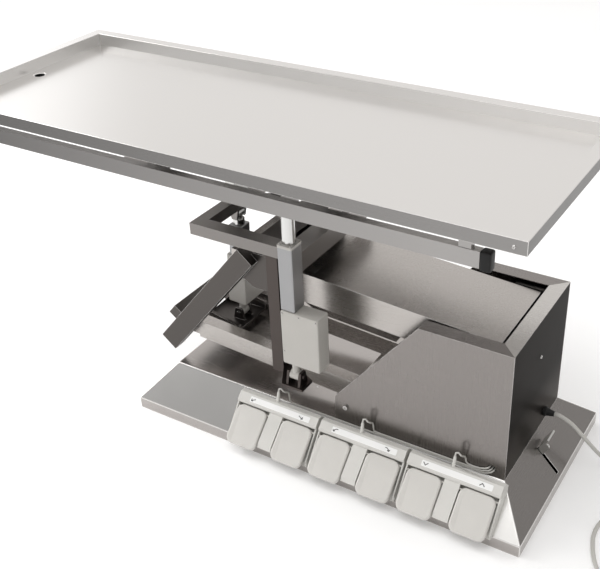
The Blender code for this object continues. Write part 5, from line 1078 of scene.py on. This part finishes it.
@dataclass
class MainsCord(Assembly):
    """The mains cord with its coil and plug."""

    radius: float = 0.0043
    floor_height: float = 0.0047
    coil_centre: Flat = (0.722, -0.280)
    coil_radius: float = 0.050
    coil_start: float = 90.0
    coil_step: float = 15.0
    layer_gap: float = 0.0001
    tail_bend: float = 0.0336
    plug_height: float = 0.017
    line_steps: int = 4
    sheath_steps: int = 4
    route: tuple[Point, ...] = (
        (0.4323, 0.0600, 0.1290), (0.4440, 0.0600, 0.1290), (0.4700, 0.0650, 0.1130),
        (0.5000, 0.0740, 0.0780), (0.5320, 0.0860, 0.0390), (0.5680, 0.0960, 0.0120),
        (0.6080, 0.0980, 0.0047), (0.6500, 0.0830, 0.0047), (0.6740, 0.0480, 0.0047),
        (0.6620, 0.0090, 0.0047), (0.6240, -0.0200, 0.0047), (0.5910, -0.0580, 0.0047),
        (0.5850, -0.1050, 0.0047), (0.5990, -0.1550, 0.0047), (0.6200, -0.1930, 0.0047),
        (0.6460, -0.2200, 0.0047), (0.6660, -0.2290, 0.0047), (0.6769, -0.2300, 0.0047))
    lead_in: tuple[Point, ...] = ((0.6919, -0.2277, 0.0047), (0.7070, -0.2235, 0.0047))

    def coil(self) -> list[Vector]:
        """Return the coil's middle line: inwards, back out above that, and most of a turn on top.

        A span has its radius at both ends, its sweep in degrees, and its layer at both ends.
        """
        layer = 2 * self.radius + self.layer_gap
        outer, inner = self.coil_radius + layer, self.coil_radius - layer
        spans = ((outer, inner, 720, 0, 0), (inner, inner, 135, 0, 1), (inner, outer, 720, 1, 1),
                 (outer, outer, 50, 1, 2), (outer, inner, 265, 2, 2))
        points = []
        angle = self.coil_start
        for start, end, sweep, low, high in spans:
            steps = round(sweep / self.coil_step)
            for step in range(steps):
                share = step / steps
                rise = low + (high - low) * share * share * (3 - 2 * share)
                points.append(self.coil_point(start + (end - start) * share, angle - sweep * share,
                                              rise * layer))
            angle -= sweep
        return points + [self.coil_point(inner, angle, 2 * layer)]

    def coil_point(self, radius: float, degrees: float, rise: float) -> Vector:
        """Return a point of the coil from its radius, angle and height above the lowest turn."""
        angle = math.radians(degrees)
        x, y = self.coil_centre
        return Vector((x + radius * math.cos(angle), y + radius * math.sin(angle), self.floor_height + rise))

    def tail(self, start: Vector) -> list[Vector]:
        """Return the line from the coil's end to the plug."""
        bend = self.tail_bend
        low = self.coil_centre[1] - self.coil_radius
        middle = Vector((start.x + bend, low + bend, start.z))
        points = [start.lerp(Vector((start.x, middle.y, start.z)), share) for share in (0.5, 1.0)]
        for degrees in (22.5, 45, 67.5, 90):
            angle = math.radians(degrees)
            fall = max(0.0, (degrees - 45) / 45)
            points.append(Vector((middle.x - bend * math.cos(angle), middle.y - bend * math.sin(angle),
                                  start.z + (self.plug_height - start.z) * fall)))
        return points

    def middle_line(self) -> list[Vector]:
        """Return the whole cord's middle line."""
        coil = self.coil()
        return [Vector(point) for point in self.route + self.lead_in] + coil + self.tail(coil[-1])

    def build(self) -> None:
        """Dress the cord, its gland and its plug."""
        self.dress(Skin.BLACK, "cord_gland", "mains_plug")
        line = smooth_line(self.middle_line(), self.line_steps)
        data = bpy.data.curves.new("mains_cord", "CURVE")
        data.dimensions = "3D"
        data.bevel_depth = self.radius
        data.bevel_resolution = self.sheath_steps
        data.use_fill_caps = True
        spline = data.splines.new("POLY")
        spline.points.add(len(line) - 1)
        for point, place in zip(spline.points, line):
            point.co = (*place, 1)
        spline.use_smooth = True
        item = linked("mains_cord", data)
        self.add(item, Skin.CORD, "base")
        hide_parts("power_cord", "cord_coil")


def smooth_line(points: list[Vector], steps: int) -> list[Vector]:
    """Return a smooth line through some points.

    Args:
        points: the points.
        steps: how many steps lie between two of them.

    Returns:
        The line's points.
    """
    padded = [2 * points[0] - points[1]] + points + [2 * points[-1] - points[-2]]
    line = []
    for a, b, c, d in zip(padded, padded[1:], padded[2:], padded[3:]):
        for step in range(steps):
            t = step / steps
            line.append(0.5 * (2 * b + (c - a) * t + (2 * a - 5 * b + 4 * c - d) * t * t
                               + (3 * b - a - 3 * c + d) * t ** 3))
    return line + [points[-1]]


# Studio

@dataclass
class Studio:
    """Floor, lamps, world and camera."""

    camera_place: Point = (0.8877, -1.5441, 1.4562)
    right: Point = (0.8554116, 0.5171562, -0.0286418)
    down: Point = (0.2419715, -0.4479066, -0.8607145)
    ahead: Point = (-0.4579528, 0.7293347, -0.5082815)
    focal_pixels: float = 968.44
    centre: Flat = (329.19, 266.20)
    frame_size: Flat = (600.0, 569.0)
    sensor: float = 36.0
    clip_start: float = 0.05
    floor_half: float = 12.0
    floor_shades: Flat = (0.93, 0.95)
    lamps: tuple[tuple[str, Point, Point, Flat, float], ...] = (
        ("left_softbox", (-3.2, -0.6, 2.6), (-0.3, 0, 0.4), (2.0, 2.0), 60),
        ("overhead_softbox", (0.2, -1.2, 3.6), (0, 0, 0.3), (3.0, 2.2), 40))

    def build(self) -> None:
        """Build the studio."""
        self.build_camera()
        self.build_floor()
        self.build_world()
        for lamp in self.lamps:
            self.add_lamp(*lamp)

    def build_camera(self) -> None:
        """Set up the camera."""
        width, height = self.frame_size
        data = bpy.data.cameras.new("view_camera")
        data.sensor_width = self.sensor
        data.lens = self.focal_pixels * self.sensor / width
        data.shift_x = -(self.centre[0] - width / 2) / width
        data.shift_y = (self.centre[1] - height / 2) / width
        data.clip_start = self.clip_start
        camera = linked("view_camera", data)
        turn = Matrix((self.right, [-part for part in self.down],
                       [-part for part in self.ahead])).transposed()
        camera.matrix_world = Matrix.Translation(self.camera_place) @ turn.to_4x4()
        bpy.context.scene.camera = camera

    def build_floor(self) -> None:
        """Lay a plain pale floor."""
        mesh = bpy.data.meshes.new("floor")
        half = self.floor_half
        mesh.from_pydata([(-half, -half, 0), (half, -half, 0), (half, half, 0), (-half, half, 0)], [],
                         [(0, 1, 2, 3)])
        floor = linked("floor", mesh)
        material, tree, shader = new_material("pale_floor")
        place = tree.add("ShaderNodeTexCoord").outputs["Object"]
        cloud = tree.add("ShaderNodeTexNoise", {"Vector": place, "Scale": 3.0}).outputs[0]
        colour = tree.blend(cloud, *((shade, shade, shade, 1) for shade in self.floor_shades))
        tree.wire(shader, {"Base Color": colour, "Emission Color": colour, "Emission Strength": 0.10,
                           "Roughness": 0.8})
        mesh.materials.append(material)

    def add_lamp(self, name: str, place: Point, aim: Point, size: Flat, power: float) -> None:
        """Add a soft box.

        Args:
            name: the lamp's name.
            place: where it stands.
            aim: the point that it faces.
            size: its width and height.
            power: its power in watts.
        """
        data = bpy.data.lights.new(name, "AREA")
        data.shape = "RECTANGLE"
        data.size, data.size_y = size
        data.energy = power
        turn = (Vector(aim) - Vector(place)).to_track_quat("-Z", "Y").to_matrix()
        linked(name, data).matrix_world = Matrix.Translation(place) @ turn.to_4x4()

    def build_world(self) -> None:
        """Surround the table with soft light that is brighter behind it, and brightest at its left."""
        world = bpy.data.worlds.new("studio")
        world.use_nodes = True
        tree = Tree(world.node_tree)
        place = tree.add("ShaderNodeTexCoord").outputs["Generated"]
        across, along, _ = tree.add("ShaderNodeSeparateXYZ", {0: place}).outputs
        back = tree.spread(along, 0.0, 1.0, start=-0.3, end=0.7)
        right = tree.spread(across, 0.0, 1.0, start=-0.1, end=0.7)
        left = tree.spread(across, 0.0, 1.0, start=-0.66, end=-0.73)
        level = tree.blend(back, (0.72, 0.71, 0.70, 1), (1.0, 0.985, 0.97, 1))
        level = tree.blend(right, level, (0.60, 0.59, 0.58, 1))
        level = tree.blend(left, level, (1.6, 1.6, 1.6, 1))
        tree.wire(world.node_tree.nodes["Background"], {"Color": level, "Strength": 1.0})
        bpy.context.scene.world = world


def main() -> None:
    """Build the studio, then dress the table from the floor up."""
    logging.basicConfig(level=logging.INFO, format="%(name)s %(message)s")
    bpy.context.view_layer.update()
    bpy.context.scene.view_settings.view_transform = "Standard"
    Studio().build()
    kit = Finishes()
    MainsCord(kit).build()
    for assembly in (Base, FootControls, Lift, Tilt, Top):
        assembly(kit).build()
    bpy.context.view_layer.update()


if __name__ == "__main__":
    main()
